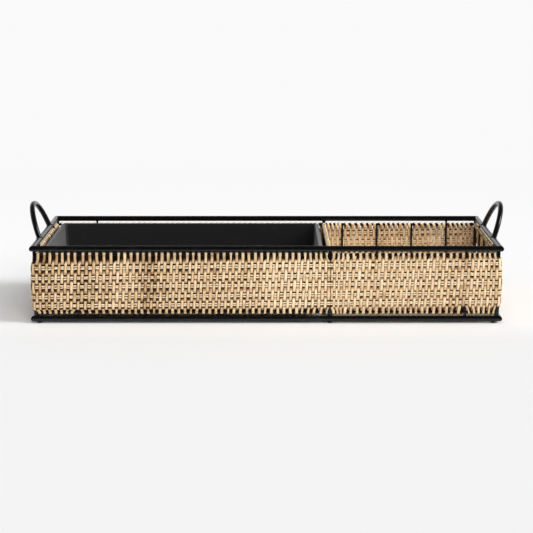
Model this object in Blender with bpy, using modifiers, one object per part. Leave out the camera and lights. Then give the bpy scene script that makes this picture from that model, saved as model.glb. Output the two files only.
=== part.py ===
"""Wicker drink station: a black iron rod frame with woven cane walls, a lift-out metal tub and an open bay.

Units are metres. X runs along the front, Y from front to back and Z up, with the origin on the ground
under the middle of the frame.
"""

import math

import bmesh
import bpy
from mathutils import Matrix, Vector

# Driving dimensions of the iron frame
RIM_WIDTH = 0.820
RIM_DEPTH = 0.330
RAIL_DIAMETER = 0.010
RAIL_SPACING = 0.1235
GRID_INSET = 0.0028
TUB_BAY = 0.5127
POST_DIAMETER = 0.006
THIN_ROD_DIAMETER = 0.005
THIN_ROD_DROP = 0.011
UPRIGHT_DIAMETER = 0.004
UPRIGHT_PITCH = 0.0646
FIRST_UPRIGHT = 0.0762
OPEN_BAY_FIRST_UPRIGHT = 0.0355
OPEN_BAY_PITCH = 0.0667
SIDE_PITCH = 0.064
LEAST_END_BAY = 0.030
CROSSBAR_DIAMETER = 0.005
TUB_FLOOR_BAR_COUNT = 4
OPEN_FLOOR_BAR_COUNT = 2

# Driving dimensions of the handles
HANDLE_ROD_DIAMETER = 0.0095
HANDLE_RADIUS = 0.0673
HANDLE_CENTRE_DROP = 0.0103
HANDLE_LEAN = math.radians(20)
HANDLE_SINK = 0.002
HANDLE_STEPS = 18

# Driving dimensions of the woven cane
CANE_THICKNESS = 0.0013
CANE_CLEARANCE = 0.0004
WEAVE_THICKNESS = 0.0030
WEAVE_BULGE = 0.0033
WEAVE_MERGE_DROP = 0.012
WEAVE_STANDOFF = 0.0003
ROW_RELIEF = 0.0008
ROW_WIDTH = 0.0070
WALL_ROW_COUNT = 5
FIRST_ROW_DROP = 0.0203
LAST_ROW_RISE = 0.0170
FLOOR_ROW_PITCH = 0.0155
FLOOR_EDGE_STRIP = 0.0080
NOTCH_CLEARANCE = 0.0015
SEAM_GAP = 0.0003
FLOOR_THICKNESS = 0.003
FLOOR_EDGE_ROUND = 0.00075
FLOOR_EDGE_GAP = 0.0005
TUB_FLOOR_INSET = 0.0180

# Driving dimensions of the tub and the feet
TUB_SIDE_GAP = 0.0107
TUB_DIVIDER_GAP = 0.0113
TUB_RIM_DROP = 0.0068
TUB_SHEET = 0.0012
TUB_FLANGE = 0.005
TUB_HEM = 0.003
TUB_TAPER = 0.004
TUB_CORNER_RADIUS = 0.007
FOOT_HEIGHT = 0.0025
FOOT_DIAMETER = 0.008
FOOT_INSET = 0.010

# Gap left between pieces that are welded, glued or rest on each other
TOUCH = 0.0003

# Sides of the round pieces, and steps of the wound edges of a woven wall
RAIL_SIDES = 24
HANDLE_SIDES = 14
POST_SIDES = 14
GRID_ROD_SIDES = 12
UPRIGHT_SIDES = 8
LOOP_STEPS = 5
LOOP_HOLE_SIDES = 8
TUB_CORNER_STEPS = 5

# Edges sharper than this stay sharp where a round piece is shaded smooth
SHARP_EDGE = math.radians(40)

# Places worked out from the driving dimensions
RAIL_RADIUS = RAIL_DIAMETER / 2
POST_RADIUS = POST_DIAMETER / 2
THIN_RADIUS = THIN_ROD_DIAMETER / 2
RAIL_X = RIM_WIDTH / 2 - RAIL_RADIUS
RAIL_Y = RIM_DEPTH / 2 - RAIL_RADIUS
SIDE_X = RAIL_X - GRID_INSET
WALL_Y = RAIL_Y - GRID_INSET
DIVIDER_X = -SIDE_X + TUB_BAY
BASE_Z = FOOT_HEIGHT + TOUCH + RAIL_RADIUS
RIM_Z = BASE_Z + RAIL_SPACING
UPPER_Z = RIM_Z - THIN_ROD_DROP
LOWER_Z = BASE_Z + THIN_ROD_DROP
LOOP_HOLE = THIN_RADIUS + CANE_CLEARANCE
LOOP_RADIUS = LOOP_HOLE + CANE_THICKNESS
SHEET_INNER = POST_RADIUS + WEAVE_STANDOFF
SHEET_OUTER = LOOP_RADIUS + WEAVE_BULGE
CROSSBAR_Z = BASE_Z
FLOOR_BOTTOM = CROSSBAR_Z + CROSSBAR_DIAMETER / 2 + TOUCH
FLOOR_TOP = FLOOR_BOTTOM + FLOOR_THICKNESS
TUB_BOTTOM = FLOOR_TOP + TOUCH
TUB_TOP = RIM_Z - TUB_RIM_DROP

# Directions, seen from above
LEFT, RIGHT = Vector((-1, 0, 0)), Vector((1, 0, 0))
FRONT, BACK = Vector((0, -1, 0)), Vector((0, 1, 0))
UP = Vector((0, 0, 1))


def clear_scene():
    for obj in list(bpy.data.objects):
        bpy.data.objects.remove(obj, do_unlink=True)


def new_collection(name):
    collection = bpy.data.collections.new(name)
    bpy.context.scene.collection.children.link(collection)
    return collection


def new_material(name, colour, roughness, metallic=0.0):
    material = bpy.data.materials.new(name)
    material.use_nodes = True
    shader = material.node_tree.nodes["Principled BSDF"]
    shader.inputs["Base Color"].default_value = (*colour, 1)
    shader.inputs["Roughness"].default_value = roughness
    shader.inputs["Metallic"].default_value = metallic
    return material


def add_piece(name, data, material):
    """A named object in the station's collection, carried by the frame's empty."""
    piece = bpy.data.objects.new(name, data)
    parts.objects.link(piece)
    data.materials.append(material)
    piece.parent = carrier
    return piece


def rods(name, runs, diameter, sides):
    """Straight round rods in one object, each from a start to an end point, with flat ends."""
    curve = bpy.data.curves.new(name, "CURVE")
    curve.dimensions = "3D"
    curve.bevel_depth = diameter / 2
    curve.bevel_resolution = sides // 2 - 2
    curve.use_fill_caps = True
    for start, end in runs:
        spline = curve.splines.new("POLY")
        spline.points.add(1)
        spline.points[0].co = (*start, 1)
        spline.points[1].co = (*end, 1)
    return add_piece(name, curve, iron)


def mitre(shape, start, end):
    """Slants the ends of a bar along Z by 45 degrees, so that each grows towards +X.

    Start is -1 for a slanted low end and end is 1 for a slanted high end. A 0 leaves that end square.
    """
    for vertex in shape.verts:
        vertex.co.z += vertex.co.x * (end if vertex.co.z > 0 else start)


def mitred_rail(name, centre, along, outward, length):
    """A rail whose ends are cut at 45 degrees, longest on its outward side, for the corners of a ring."""
    mesh = bpy.data.meshes.new(name)
    shape = bmesh.new()
    bmesh.ops.create_cone(
        shape,
        cap_ends=True,
        segments=RAIL_SIDES,
        radius1=RAIL_RADIUS,
        radius2=RAIL_RADIUS,
        depth=length - TOUCH,
    )
    mitre(shape, -1, 1)
    shape.to_mesh(mesh)
    shape.free()
    mesh.shade_smooth()
    mesh.set_sharp_from_angle(angle=SHARP_EDGE)
    rail = add_piece(name, mesh, iron)
    rail.matrix_local = frame_at(centre, outward, UP, along)
    return rail


def frame_at(origin, x_axis, y_axis, z_axis):
    """The matrix of a local frame with these axes at this point."""
    turned = Matrix((x_axis, y_axis, z_axis)).transposed().to_4x4()
    return Matrix.Translation(origin) @ turned


def mesh_of_curve(piece, material):
    """Replaces a curve piece with the same shape as a mesh whose caps are joined on."""
    bpy.context.view_layer.update()
    graph = bpy.context.evaluated_depsgraph_get()
    name, place, old = piece.name, piece.matrix_local.copy(), piece.data
    mesh = bpy.data.meshes.new_from_object(piece.evaluated_get(graph))
    bpy.data.objects.remove(piece)
    bpy.data.curves.remove(old)
    shape = bmesh.new()
    shape.from_mesh(mesh)
    bmesh.ops.remove_doubles(shape, verts=shape.verts, dist=0.00001)
    bmesh.ops.recalc_face_normals(shape, faces=shape.faces)
    shape.to_mesh(mesh)
    shape.free()
    mesh.materials.clear()
    made = add_piece(name, mesh, material)
    made.matrix_local = place
    return made


def use_with_boolean(piece, helper, operation):
    """Joins the hidden helper to the piece, or cuts it out of the piece."""
    cutters.objects.link(helper)
    helper.hide_render = True
    helper.display_type = "WIRE"
    boolean = piece.modifiers.new(operation.lower(), "BOOLEAN")
    boolean.operation = operation
    boolean.object = helper


def cut(piece, shape, name):
    """Cuts the bmesh shape, given in world coordinates, out of the piece."""
    bmesh.ops.recalc_face_normals(shape, faces=shape.faces)
    mesh = bpy.data.meshes.new(name)
    shape.to_mesh(mesh)
    shape.free()
    use_with_boolean(piece, bpy.data.objects.new(name, mesh), "DIFFERENCE")


def box_into(shape, low, high):
    """Adds a box between two corners to the bmesh."""
    low, high = Vector(low), Vector(high)
    size = Matrix.Diagonal((*(high - low), 1))
    bmesh.ops.create_cube(shape, size=1, matrix=Matrix.Translation((low + high) / 2) @ size)


def steps_between(first, pitch, end):
    """Positions from first at this pitch that leave at least the least end bay before the end."""
    count = int((end - LEAST_END_BAY - first) / pitch + 1e-6) + 1
    return [first + number * pitch for number in range(max(count, 0))]


clear_scene()
parts = new_collection("wicker_drink_station")
cutters = new_collection("cutters")
carrier = bpy.data.objects.new("frame_carrier", None)
parts.objects.link(carrier)

iron = new_material("black_iron", (0.012, 0.012, 0.013), 0.45, 0.3)
cane = new_material("natural_cane", (0.62, 0.42, 0.22), 0.6)
tub_metal = new_material("black_tub_metal", (0.02, 0.02, 0.02), 0.4, 0.4)
rubber = new_material("foot_rubber", (0.02, 0.02, 0.02), 0.8)

# Positions of the uprights along the front and back walls and along the sides
tub_bay_uprights = steps_between(-SIDE_X + FIRST_UPRIGHT, UPRIGHT_PITCH, DIVIDER_X)
open_bay_uprights = steps_between(DIVIDER_X + OPEN_BAY_FIRST_UPRIGHT, OPEN_BAY_PITCH, SIDE_X)
side_count = round(2 * WALL_Y / SIDE_PITCH) - 1
side_uprights = [(number - (side_count - 1) / 2) * SIDE_PITCH for number in range(side_count)]


def rail_rings():
    """The rim ring and the base ring, each of four rails mitred at the corners."""
    for ring, height in (("rim", RIM_Z), ("base", BASE_Z)):
        for side, outward, along, distance, length in (
            ("front", FRONT, LEFT, RAIL_Y, 2 * RAIL_X),
            ("back", BACK, RIGHT, RAIL_Y, 2 * RAIL_X),
            ("left", LEFT, BACK, RAIL_X, 2 * RAIL_Y),
            ("right", RIGHT, FRONT, RAIL_X, 2 * RAIL_Y),
        ):
            centre = outward * distance + UP * height
            mitred_rail(f"{ring}_{side}_rail", centre, along, outward, length)


def posts():
    """Main posts from the base rails to the rim rails, at the corners and at the divider."""
    low, high = BASE_Z + RAIL_RADIUS + TOUCH, RIM_Z - RAIL_RADIUS - TOUCH
    for side, y in (("front", -WALL_Y), ("back", WALL_Y)):
        for place, x in (("left_corner", -SIDE_X), ("right_corner", SIDE_X), ("divider", DIVIDER_X)):
            name = f"{side}_{place}_post"
            rods(name, [((x, y, low), (x, y, high))], POST_DIAMETER, POST_SIDES)


def weave_grid(name, start, end, places, tall):
    """The welded grid that a wall is woven on: a thin rod above and below, and the uprights between them.

    Start and end are where the posts stand, places are the uprights' distances from the start, and the
    tall ones run on to the rails and hold the grid there.
    """
    along = (end - start).normalized()
    reach = along * (POST_RADIUS + TOUCH)
    long_runs = [(start + reach + UP * z, end - reach + UP * z) for z in (UPPER_Z, LOWER_Z)]
    grid = mesh_of_curve(rods(name, long_runs, THIN_ROD_DIAMETER, GRID_ROD_SIDES), iron)
    short, full = (LOWER_Z, UPPER_Z), (BASE_Z + RAIL_RADIUS + TOUCH, RIM_Z - RAIL_RADIUS - TOUCH)
    runs = []
    for place in places:
        low, high = full if place in tall else short
        foot = start + along * place
        runs.append((foot + UP * low, foot + UP * high))
    bars = mesh_of_curve(rods(f"{name}_uprights", runs, UPRIGHT_DIAMETER, UPRIGHT_SIDES), iron)
    parts.objects.unlink(bars)
    use_with_boolean(grid, bars, "UNION")


def weave_grids():
    """A grid in each wall, split at the divider along the front and back."""
    tub_bay = [x + SIDE_X for x in tub_bay_uprights]
    open_bay = [x - DIVIDER_X for x in open_bay_uprights]
    side = [y + WALL_Y for y in side_uprights]
    for name, y in (("front", -WALL_Y), ("back", WALL_Y)):
        left, middle, right = Vector((-SIDE_X, y, 0)), Vector((DIVIDER_X, y, 0)), Vector((SIDE_X, y, 0))
        weave_grid(f"{name}_tub_bay_grid", left, middle, tub_bay, tub_bay[:1])
        weave_grid(f"{name}_open_bay_grid", middle, right, open_bay, open_bay[-1:])
    for name, x, tall in (
        ("left", -SIDE_X, (side[0], side[-1])),
        ("right", SIDE_X, (side[0], side[-1])),
        ("divider", DIVIDER_X, ()),
    ):
        weave_grid(f"{name}_grid", Vector((x, -WALL_Y, 0)), Vector((x, WALL_Y, 0)), side, tall)


def handle(name, side):
    """A half ring of rod that leans outward, its ends coped to sit on the side rail."""
    curve = bpy.data.curves.new(name, "CURVE")
    curve.dimensions = "3D"
    curve.bevel_depth = HANDLE_ROD_DIAMETER / 2
    curve.bevel_resolution = HANDLE_SIDES // 2 - 2
    curve.use_fill_caps = True
    start = math.asin((HANDLE_CENTRE_DROP - HANDLE_SINK) / HANDLE_RADIUS)
    spline = curve.splines.new("POLY")
    spline.points.add(HANDLE_STEPS)
    for step, point in enumerate(spline.points):
        angle = start + (math.pi - 2 * start) * step / HANDLE_STEPS
        rise = HANDLE_RADIUS * math.sin(angle) - HANDLE_CENTRE_DROP
        point.co = (0, HANDLE_RADIUS * math.cos(angle), rise, 1)
    piece = add_piece(name, curve, iron)
    piece.location = (side * RAIL_X, 0, RIM_Z)
    piece.rotation_euler = (0, side * HANDLE_LEAN, 0)
    piece = mesh_of_curve(piece, iron)
    piece.data.shade_smooth()
    piece.data.set_sharp_from_angle(angle=SHARP_EDGE)
    shape = bmesh.new()
    bmesh.ops.create_cone(
        shape,
        cap_ends=True,
        segments=RAIL_SIDES,
        radius1=RAIL_RADIUS + TOUCH,
        radius2=RAIL_RADIUS + TOUCH,
        depth=2 * RAIL_Y,
        matrix=Matrix.Translation((side * RAIL_X, 0, RIM_Z)) @ Matrix.Rotation(math.pi / 2, 4, "X"),
    )
    cut(piece, shape, f"{name}_cope")


def crossbars():
    """Bars across the base that carry the floor, evenly spaced in each bay, and one under the divider."""
    places = {"divider_floor_bar": DIVIDER_X}
    for bay, count, start, end in (
        ("tub", TUB_FLOOR_BAR_COUNT, -SIDE_X, DIVIDER_X),
        ("open", OPEN_FLOOR_BAR_COUNT, DIVIDER_X, SIDE_X),
    ):
        for number in range(count):
            places[f"{bay}_floor_bar_{number + 1}"] = start + (end - start) * (number + 0.5) / count
    reach = RAIL_Y - RAIL_RADIUS - TOUCH
    for name, x in places.items():
        run = ((x, -reach, CROSSBAR_Z), (x, reach, CROSSBAR_Z))
        rods(name, [run], CROSSBAR_DIAMETER, GRID_ROD_SIDES)


def row_relief(rows):
    """Where a woven sheet is shaped across its rows: (place, depth below the ridges) pairs.

    A row of canes woven through stands up as a flat ridge, and the sheet dips halfway to the next row.
    """
    relief = []
    for row, after in zip(rows, [*rows[1:], None]):
        towards = math.copysign(ROW_WIDTH / 2, rows[-1] - rows[0])
        relief += [(row - towards, 0), (row + towards, 0)]
        if after is not None:
            relief.append(((row + after) / 2, ROW_RELIEF))
    return relief


def wall_profile():
    """Outline of a woven wall seen along its run: (out from the rods, height) points, and its two rod holes.

    The cane goes round the thin rods and swells outward between them, with a ridge for each woven row.
    """
    first, last = UPPER_Z - FIRST_ROW_DROP, LOWER_Z + LAST_ROW_RISE
    rows = [first + (last - first) * number / (WALL_ROW_COUNT - 1) for number in range(WALL_ROW_COUNT)]
    outer, inner = [], []
    for height, depth in row_relief(rows):
        share = (UPPER_Z - height) / (UPPER_Z - LOWER_Z)
        out = LOOP_RADIUS + WEAVE_BULGE * (1 - (2 * share - 1) ** 2)
        outer.append((out - depth, height))
        inner.append((max(out - WEAVE_THICKNESS + depth, SHEET_INNER), height))
    points = []
    for step in range(LOOP_STEPS + 1):
        angle = math.pi - math.pi * step / LOOP_STEPS
        points.append((LOOP_RADIUS * math.cos(angle), UPPER_Z + LOOP_RADIUS * math.sin(angle)))
    points += outer
    for step in range(LOOP_STEPS + 1):
        angle = -math.pi * step / LOOP_STEPS
        points.append((LOOP_RADIUS * math.cos(angle), LOWER_Z + LOOP_RADIUS * math.sin(angle)))
    points.append((SHEET_INNER, LOWER_Z + WEAVE_MERGE_DROP))
    points += reversed(inner)
    points.append((SHEET_INNER, UPPER_Z - WEAVE_MERGE_DROP))
    holes = []
    corner = LOOP_HOLE / math.cos(math.pi / LOOP_HOLE_SIDES)
    angles = [2 * math.pi * step / LOOP_HOLE_SIDES for step in range(LOOP_HOLE_SIDES)]
    for height in (UPPER_Z, LOWER_Z):
        holes.append([(corner * math.cos(a), height + corner * math.sin(a)) for a in angles])
    return [points, *holes]


def woven_wall(name, origin, outward, start, end, mitres, notches, end_cuts):
    """A woven wall along X or Y from start to end. Its wound edges stop at the notches and at its posts.

    Mitres says which ends are slanted to meet the next wall at a corner, in the order of the curve's own
    Z, as mitre takes them.
    """
    run = RIGHT if abs(outward.y) > 0.5 else BACK
    curve = bpy.data.curves.new(name, "CURVE")
    curve.dimensions = "2D"
    curve.fill_mode = "BOTH"
    curve.extrude = (end - start) / 2
    for outline in wall_profile():
        spline = curve.splines.new("POLY")
        spline.points.add(len(outline) - 1)
        spline.use_cyclic_u = True
        for point, (out, height) in zip(spline.points, outline):
            point.co = (out, height, 0, 1)
    piece = add_piece(name, curve, cane)
    along = outward.cross(UP)
    piece.matrix_local = frame_at(origin + run * (start + end) / 2, outward, UP, along)
    piece = mesh_of_curve(piece, cane)
    shape = bmesh.new()
    shape.from_mesh(piece.data)
    mitre(shape, *mitres)
    shape.to_mesh(piece.data)
    shape.free()

    shape = bmesh.new()
    half = UPRIGHT_DIAMETER / 2 + NOTCH_CLEARANCE
    spans = [(place - half, place + half) for place in notches] + end_cuts
    wide = 2 * SHEET_OUTER
    levels = (
        (UPPER_Z - WEAVE_MERGE_DROP, UPPER_Z + 2 * LOOP_RADIUS),
        (LOWER_Z - 2 * LOOP_RADIUS, LOWER_Z + WEAVE_MERGE_DROP),
    )
    for first, last in spans:
        for low, high in levels:
            corner = origin + run * first + run.cross(UP) * wide + UP * low
            other = origin + run * last - run.cross(UP) * wide + UP * high
            box_into(shape, map(min, corner, other), map(max, corner, other))
    cut(piece, shape, f"{name}_notches")


def woven_walls():
    """The four outer walls, split at the divider along the front and back, and the divider wall."""
    post_cut = POST_RADIUS + NOTCH_CLEARANCE
    past = SHEET_OUTER + NOTCH_CLEARANCE
    far_end = SIDE_X - TOUCH / 2
    side_end = WALL_Y - TOUCH / 2
    seam = SEAM_GAP / 2
    for side, outward in (("front", FRONT), ("back", BACK)):
        origin = outward * WALL_Y
        left_cuts = [
            (-SIDE_X - past, -SIDE_X + post_cut),
            (DIVIDER_X - post_cut, DIVIDER_X + past),
        ]
        right_cuts = [
            (DIVIDER_X - past, DIVIDER_X + post_cut),
            (SIDE_X - post_cut, SIDE_X + past),
        ]
        left_mitre, right_mitre = ((0, 1), (-1, 0)) if outward == FRONT else ((-1, 0), (0, 1))
        woven_wall(
            f"{side}_tub_bay_weave",
            origin,
            outward,
            -far_end,
            DIVIDER_X - seam,
            left_mitre,
            tub_bay_uprights,
            left_cuts,
        )
        woven_wall(
            f"{side}_open_bay_weave",
            origin,
            outward,
            DIVIDER_X + seam,
            far_end,
            right_mitre,
            open_bay_uprights,
            right_cuts,
        )
    side_cuts = [(-WALL_Y - past, -WALL_Y + post_cut), (WALL_Y - post_cut, WALL_Y + past)]
    for side, outward in (("left", LEFT), ("right", RIGHT)):
        origin = outward * SIDE_X
        woven_wall(f"{side}_weave", origin, outward, -side_end, side_end, (-1, 1), side_uprights, side_cuts)
    inner_end = WALL_Y - LOOP_RADIUS - CANE_CLEARANCE
    origin = RIGHT * DIVIDER_X
    woven_wall("divider_weave", origin, RIGHT, -inner_end, inner_end, (0, 0), side_uprights, side_cuts)


def floor_outline(reach):
    """Outline of a woven floor panel seen along X: (place from front to back, height) points."""
    half_thick = FLOOR_THICKNESS / 2
    half_count = int((reach - FLOOR_EDGE_STRIP) / FLOOR_ROW_PITCH)
    rows = [number * FLOOR_ROW_PITCH for number in range(-half_count, half_count + 1)]
    above = [(-reach + FLOOR_EDGE_ROUND, half_thick)]
    above += [(place, half_thick - depth) for place, depth in row_relief(rows)]
    above.append((reach - FLOOR_EDGE_ROUND, half_thick))
    end = [(reach, half_thick - FLOOR_EDGE_ROUND), (reach, FLOOR_EDGE_ROUND - half_thick)]
    return above + end + [(place, -height) for place, height in reversed(above)] + [
        (-place, height) for place, height in reversed(end)
    ]


def floor_panel(name, x1, x2, reach):
    """A woven floor panel that lies on the crossbars, from x1 to x2 and as far as reach to front and back."""
    curve = bpy.data.curves.new(name, "CURVE")
    curve.dimensions = "2D"
    curve.fill_mode = "BOTH"
    curve.extrude = (x2 - x1) / 2
    outline = floor_outline(reach)
    spline = curve.splines.new("POLY")
    spline.points.add(len(outline) - 1)
    spline.use_cyclic_u = True
    for point, (place, height) in zip(spline.points, outline):
        point.co = (place, height, 0, 1)
    panel = add_piece(name, curve, cane)
    middle = Vector(((x1 + x2) / 2, 0, FLOOR_BOTTOM + FLOOR_THICKNESS / 2))
    panel.matrix_local = frame_at(middle, BACK, UP, RIGHT)
    mesh_of_curve(panel, cane)


def floors():
    """The open bay's panel fills the bay inside the wound edges, and the tub's ends under the tub."""
    inset = LOOP_RADIUS + FLOOR_EDGE_GAP
    floor_panel("open_bay_floor", DIVIDER_X + inset, SIDE_X - inset, WALL_Y - inset)
    inset = TUB_FLOOR_INSET
    floor_panel("tub_bay_floor", -SIDE_X + inset, DIVIDER_X - inset, WALL_Y - inset)


def tub():
    """The sheet metal tub: tapered walls, rounded corners and a flange with a turned-down hem."""
    left, right = -SIDE_X + TUB_SIDE_GAP, DIVIDER_X - TUB_DIVIDER_GAP
    half_length, half_width = (right - left) / 2 - TUB_FLANGE, WALL_Y - TUB_SIDE_GAP - TUB_FLANGE
    height = TUB_TOP - TUB_BOTTOM - TUB_SHEET
    mesh = bpy.data.meshes.new("lift_out_tub")
    shape = bmesh.new()
    box_into(shape, (-half_length, -half_width, 0), (half_length, half_width, height))
    for vertex in shape.verts:
        if vertex.co.z < height / 2:
            vertex.co.x -= math.copysign(TUB_TAPER, vertex.co.x)
            vertex.co.y -= math.copysign(TUB_TAPER, vertex.co.y)
    top = max(shape.faces, key=lambda face: face.calc_center_median().z)
    bmesh.ops.delete(shape, geom=[top], context="FACES_ONLY")
    folded = [edge for edge in shape.edges if len(edge.link_faces) == 2]
    bmesh.ops.bevel(
        shape,
        geom=folded,
        offset=TUB_CORNER_RADIUS,
        segments=TUB_CORNER_STEPS,
        profile=0.5,
        affect="EDGES",
    )
    lip = [edge for edge in shape.edges if edge.is_boundary]
    for outward, down in ((TUB_FLANGE - TUB_SHEET, 0), (0, TUB_HEM)):
        grown = bmesh.ops.extrude_edge_only(shape, edges=lip)["geom"]
        for vertex in (item for item in grown if isinstance(item, bmesh.types.BMVert)):
            corner_x = math.copysign(half_length - TUB_CORNER_RADIUS, vertex.co.x)
            corner_y = math.copysign(half_width - TUB_CORNER_RADIUS, vertex.co.y)
            away = Vector((vertex.co.x - corner_x, vertex.co.y - corner_y, 0))
            away.x = max(away.x * math.copysign(1, corner_x), 0) * math.copysign(1, corner_x)
            away.y = max(away.y * math.copysign(1, corner_y), 0) * math.copysign(1, corner_y)
            vertex.co += away.normalized() * outward
            vertex.co.z -= down
        lip = [item for item in grown if isinstance(item, bmesh.types.BMEdge)]
    bmesh.ops.recalc_face_normals(shape, faces=shape.faces)
    bottom = min(shape.faces, key=lambda face: face.calc_center_median().z)
    if bottom.normal.z > 0:
        bmesh.ops.reverse_faces(shape, faces=shape.faces)
    shape.to_mesh(mesh)
    shape.free()
    mesh.shade_smooth()
    mesh.set_sharp_from_angle(angle=SHARP_EDGE)
    piece = add_piece("lift_out_tub", mesh, tub_metal)
    piece.location = ((left + right) / 2, 0, TUB_BOTTOM)
    sheet = piece.modifiers.new("sheet", "SOLIDIFY")
    sheet.thickness = TUB_SHEET
    sheet.use_even_offset = True
    sheet.offset = -1


def feet():
    """Small round pads under the corners of the base ring and under the divider."""
    for side, y in (("front", -RAIL_Y), ("back", RAIL_Y)):
        for place, x in (
            ("left", -RAIL_X + FOOT_INSET),
            ("divider", DIVIDER_X),
            ("right", RAIL_X - FOOT_INSET),
        ):
            name = f"{side}_{place}_foot"
            mesh = bpy.data.meshes.new(name)
            shape = bmesh.new()
            bmesh.ops.create_cone(
                shape,
                cap_ends=True,
                segments=POST_SIDES,
                radius1=FOOT_DIAMETER / 2,
                radius2=FOOT_DIAMETER / 2,
                depth=FOOT_HEIGHT,
            )
            shape.to_mesh(mesh)
            shape.free()
            pad = add_piece(name, mesh, rubber)
            pad.location = (x, y, FOOT_HEIGHT / 2)


rail_rings()
posts()
weave_grids()
handle("left_handle", -1)
handle("right_handle", 1)
crossbars()
woven_walls()
floors()
tub()
feet()
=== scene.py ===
import math
from collections import namedtuple

import bmesh
import bpy
import numpy as np
from bpy.props import FloatProperty, FloatVectorProperty, IntProperty, PointerProperty
from bpy.types import Operator, Panel, PropertyGroup
from mathutils import Matrix, Vector


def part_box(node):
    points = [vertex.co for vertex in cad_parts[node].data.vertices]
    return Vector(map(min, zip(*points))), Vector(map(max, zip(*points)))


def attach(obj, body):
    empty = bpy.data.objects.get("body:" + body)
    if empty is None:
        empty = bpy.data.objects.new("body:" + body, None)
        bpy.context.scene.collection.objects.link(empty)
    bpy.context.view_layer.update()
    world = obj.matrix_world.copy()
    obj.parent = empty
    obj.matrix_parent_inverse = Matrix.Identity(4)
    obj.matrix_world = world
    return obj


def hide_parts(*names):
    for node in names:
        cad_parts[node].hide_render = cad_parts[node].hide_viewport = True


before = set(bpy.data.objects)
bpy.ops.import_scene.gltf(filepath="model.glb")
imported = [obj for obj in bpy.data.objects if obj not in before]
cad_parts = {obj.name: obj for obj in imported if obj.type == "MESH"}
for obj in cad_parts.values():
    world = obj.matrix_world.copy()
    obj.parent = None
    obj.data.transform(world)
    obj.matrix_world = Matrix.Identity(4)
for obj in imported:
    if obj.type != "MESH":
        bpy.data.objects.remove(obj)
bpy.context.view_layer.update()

bl_info = {
    "name": "Wicker drink station",
    "version": (1, 0, 0),
    "blender": (4, 5, 0),
    "location": "View3D > Sidebar > Drink station",
    "description": "Dresses the drink station's frame with wound cane, smooth rods and a sheet metal tub",
    "category": "Object",
}


def half_size(node, axis):
    """Half a node's size along one axis."""
    low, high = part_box(node)
    return (getattr(high, axis) - getattr(low, axis)) / 2


def nodes_with(part):
    return [name for name in sorted(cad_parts) if part in name]


# Places taken from the frame
RAIL_RADIUS = half_size("rim_front_rail", "z")
RIM_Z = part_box("rim_front_rail")[1].z - RAIL_RADIUS
BASE_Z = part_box("base_front_rail")[1].z - RAIL_RADIUS
RAIL_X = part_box("rim_right_rail")[1].x - RAIL_RADIUS
RAIL_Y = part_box("rim_back_rail")[1].y - RAIL_RADIUS
POST_RADIUS = half_size("front_divider_post", "x")
SIDE_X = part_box("front_right_corner_post")[1].x - POST_RADIUS
WALL_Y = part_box("back_right_corner_post")[1].y - POST_RADIUS
DIVIDER_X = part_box("front_divider_post")[1].x - POST_RADIUS
BAR_RADIUS = half_size("divider_floor_bar", "z")
BAR_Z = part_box("divider_floor_bar")[1].z - BAR_RADIUS

# The welded grids that the cane is wound on
THIN_RADIUS = 0.0025
THIN_DROP = 0.011
UPRIGHT_RADIUS = 0.002
UPPER_Z = RIM_Z - THIN_DROP
LOWER_Z = BASE_Z + THIN_DROP
TUB_BAY_UPRIGHTS = [-0.3260 + 0.0646 * step for step in range(7)]
OPEN_BAY_UPRIGHTS = [0.1460 + 0.0667 * step for step in range(4)]
SIDE_UPRIGHTS = [-0.096, -0.032, 0.032, 0.096]

# The uprights that run on past the thin rods to the rails
TUB_BAY_TALL = TUB_BAY_UPRIGHTS[:1]
OPEN_BAY_TALL = OPEN_BAY_UPRIGHTS[-1:]
SIDE_TALL = [SIDE_UPRIGHTS[0], SIDE_UPRIGHTS[-1]]

# Turns of cane between one upright and the next, from the left corner to the divider and on to the right
TUB_BAY_TURNS = [7, 5, 6, 6, 6, 6, 6, 5]
OPEN_BAY_TURNS = [4, 6, 7, 6, 6]
SIDE_TURNS = [6, 6, 6, 6, 6]

# Heights of the five rows of bands at the station's middle, and their rise for each metre to the right
ROW_HEIGHTS = [0.1013, 0.0834, 0.0679, 0.0499, 0.0340]
ROW_RISE = 0.0103

# How far a woven wall bows outward at half height, and how far out from its grid it lies
BULGE = 0.0033
SHEET_DEPTH = 0.0027

# A handle's half ring: its radius, its rod's, its centre's depth under the rail's and its lean outward
HANDLE_RADIUS = 0.0673
HANDLE_ROD = 0.00475
HANDLE_DROP = 0.0103
HANDLE_LEAN = math.radians(20)

# How far from a rail's centre the posts and tall uprights end, and the floor bars, and how far from a
# post's centre the thin rods end
POST_END = RAIL_RADIUS * 0.7
BAR_END = RAIL_RADIUS * 0.6
THIN_END = POST_RADIUS * 0.6

# Room between surfaces that must not meet
CLEARANCE = 0.0001

# The angle from which an edge of a rod is shown sharp
SHARP = math.radians(35)

LEFT, RIGHT = Vector((-1, 0, 0)), Vector((1, 0, 0))
FRONT, BACK = Vector((0, -1, 0)), Vector((0, 1, 0))
UP = Vector((0, 0, 1))


def colour_property(name, description, default):
    return FloatVectorProperty(
        name=name, description=description, default=default, subtype="COLOR", size=3, min=0, max=1
    )


def length_property(name, description, default):
    return FloatProperty(
        name=name, description=description, default=default, min=0, unit="LENGTH", precision=5
    )


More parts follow.
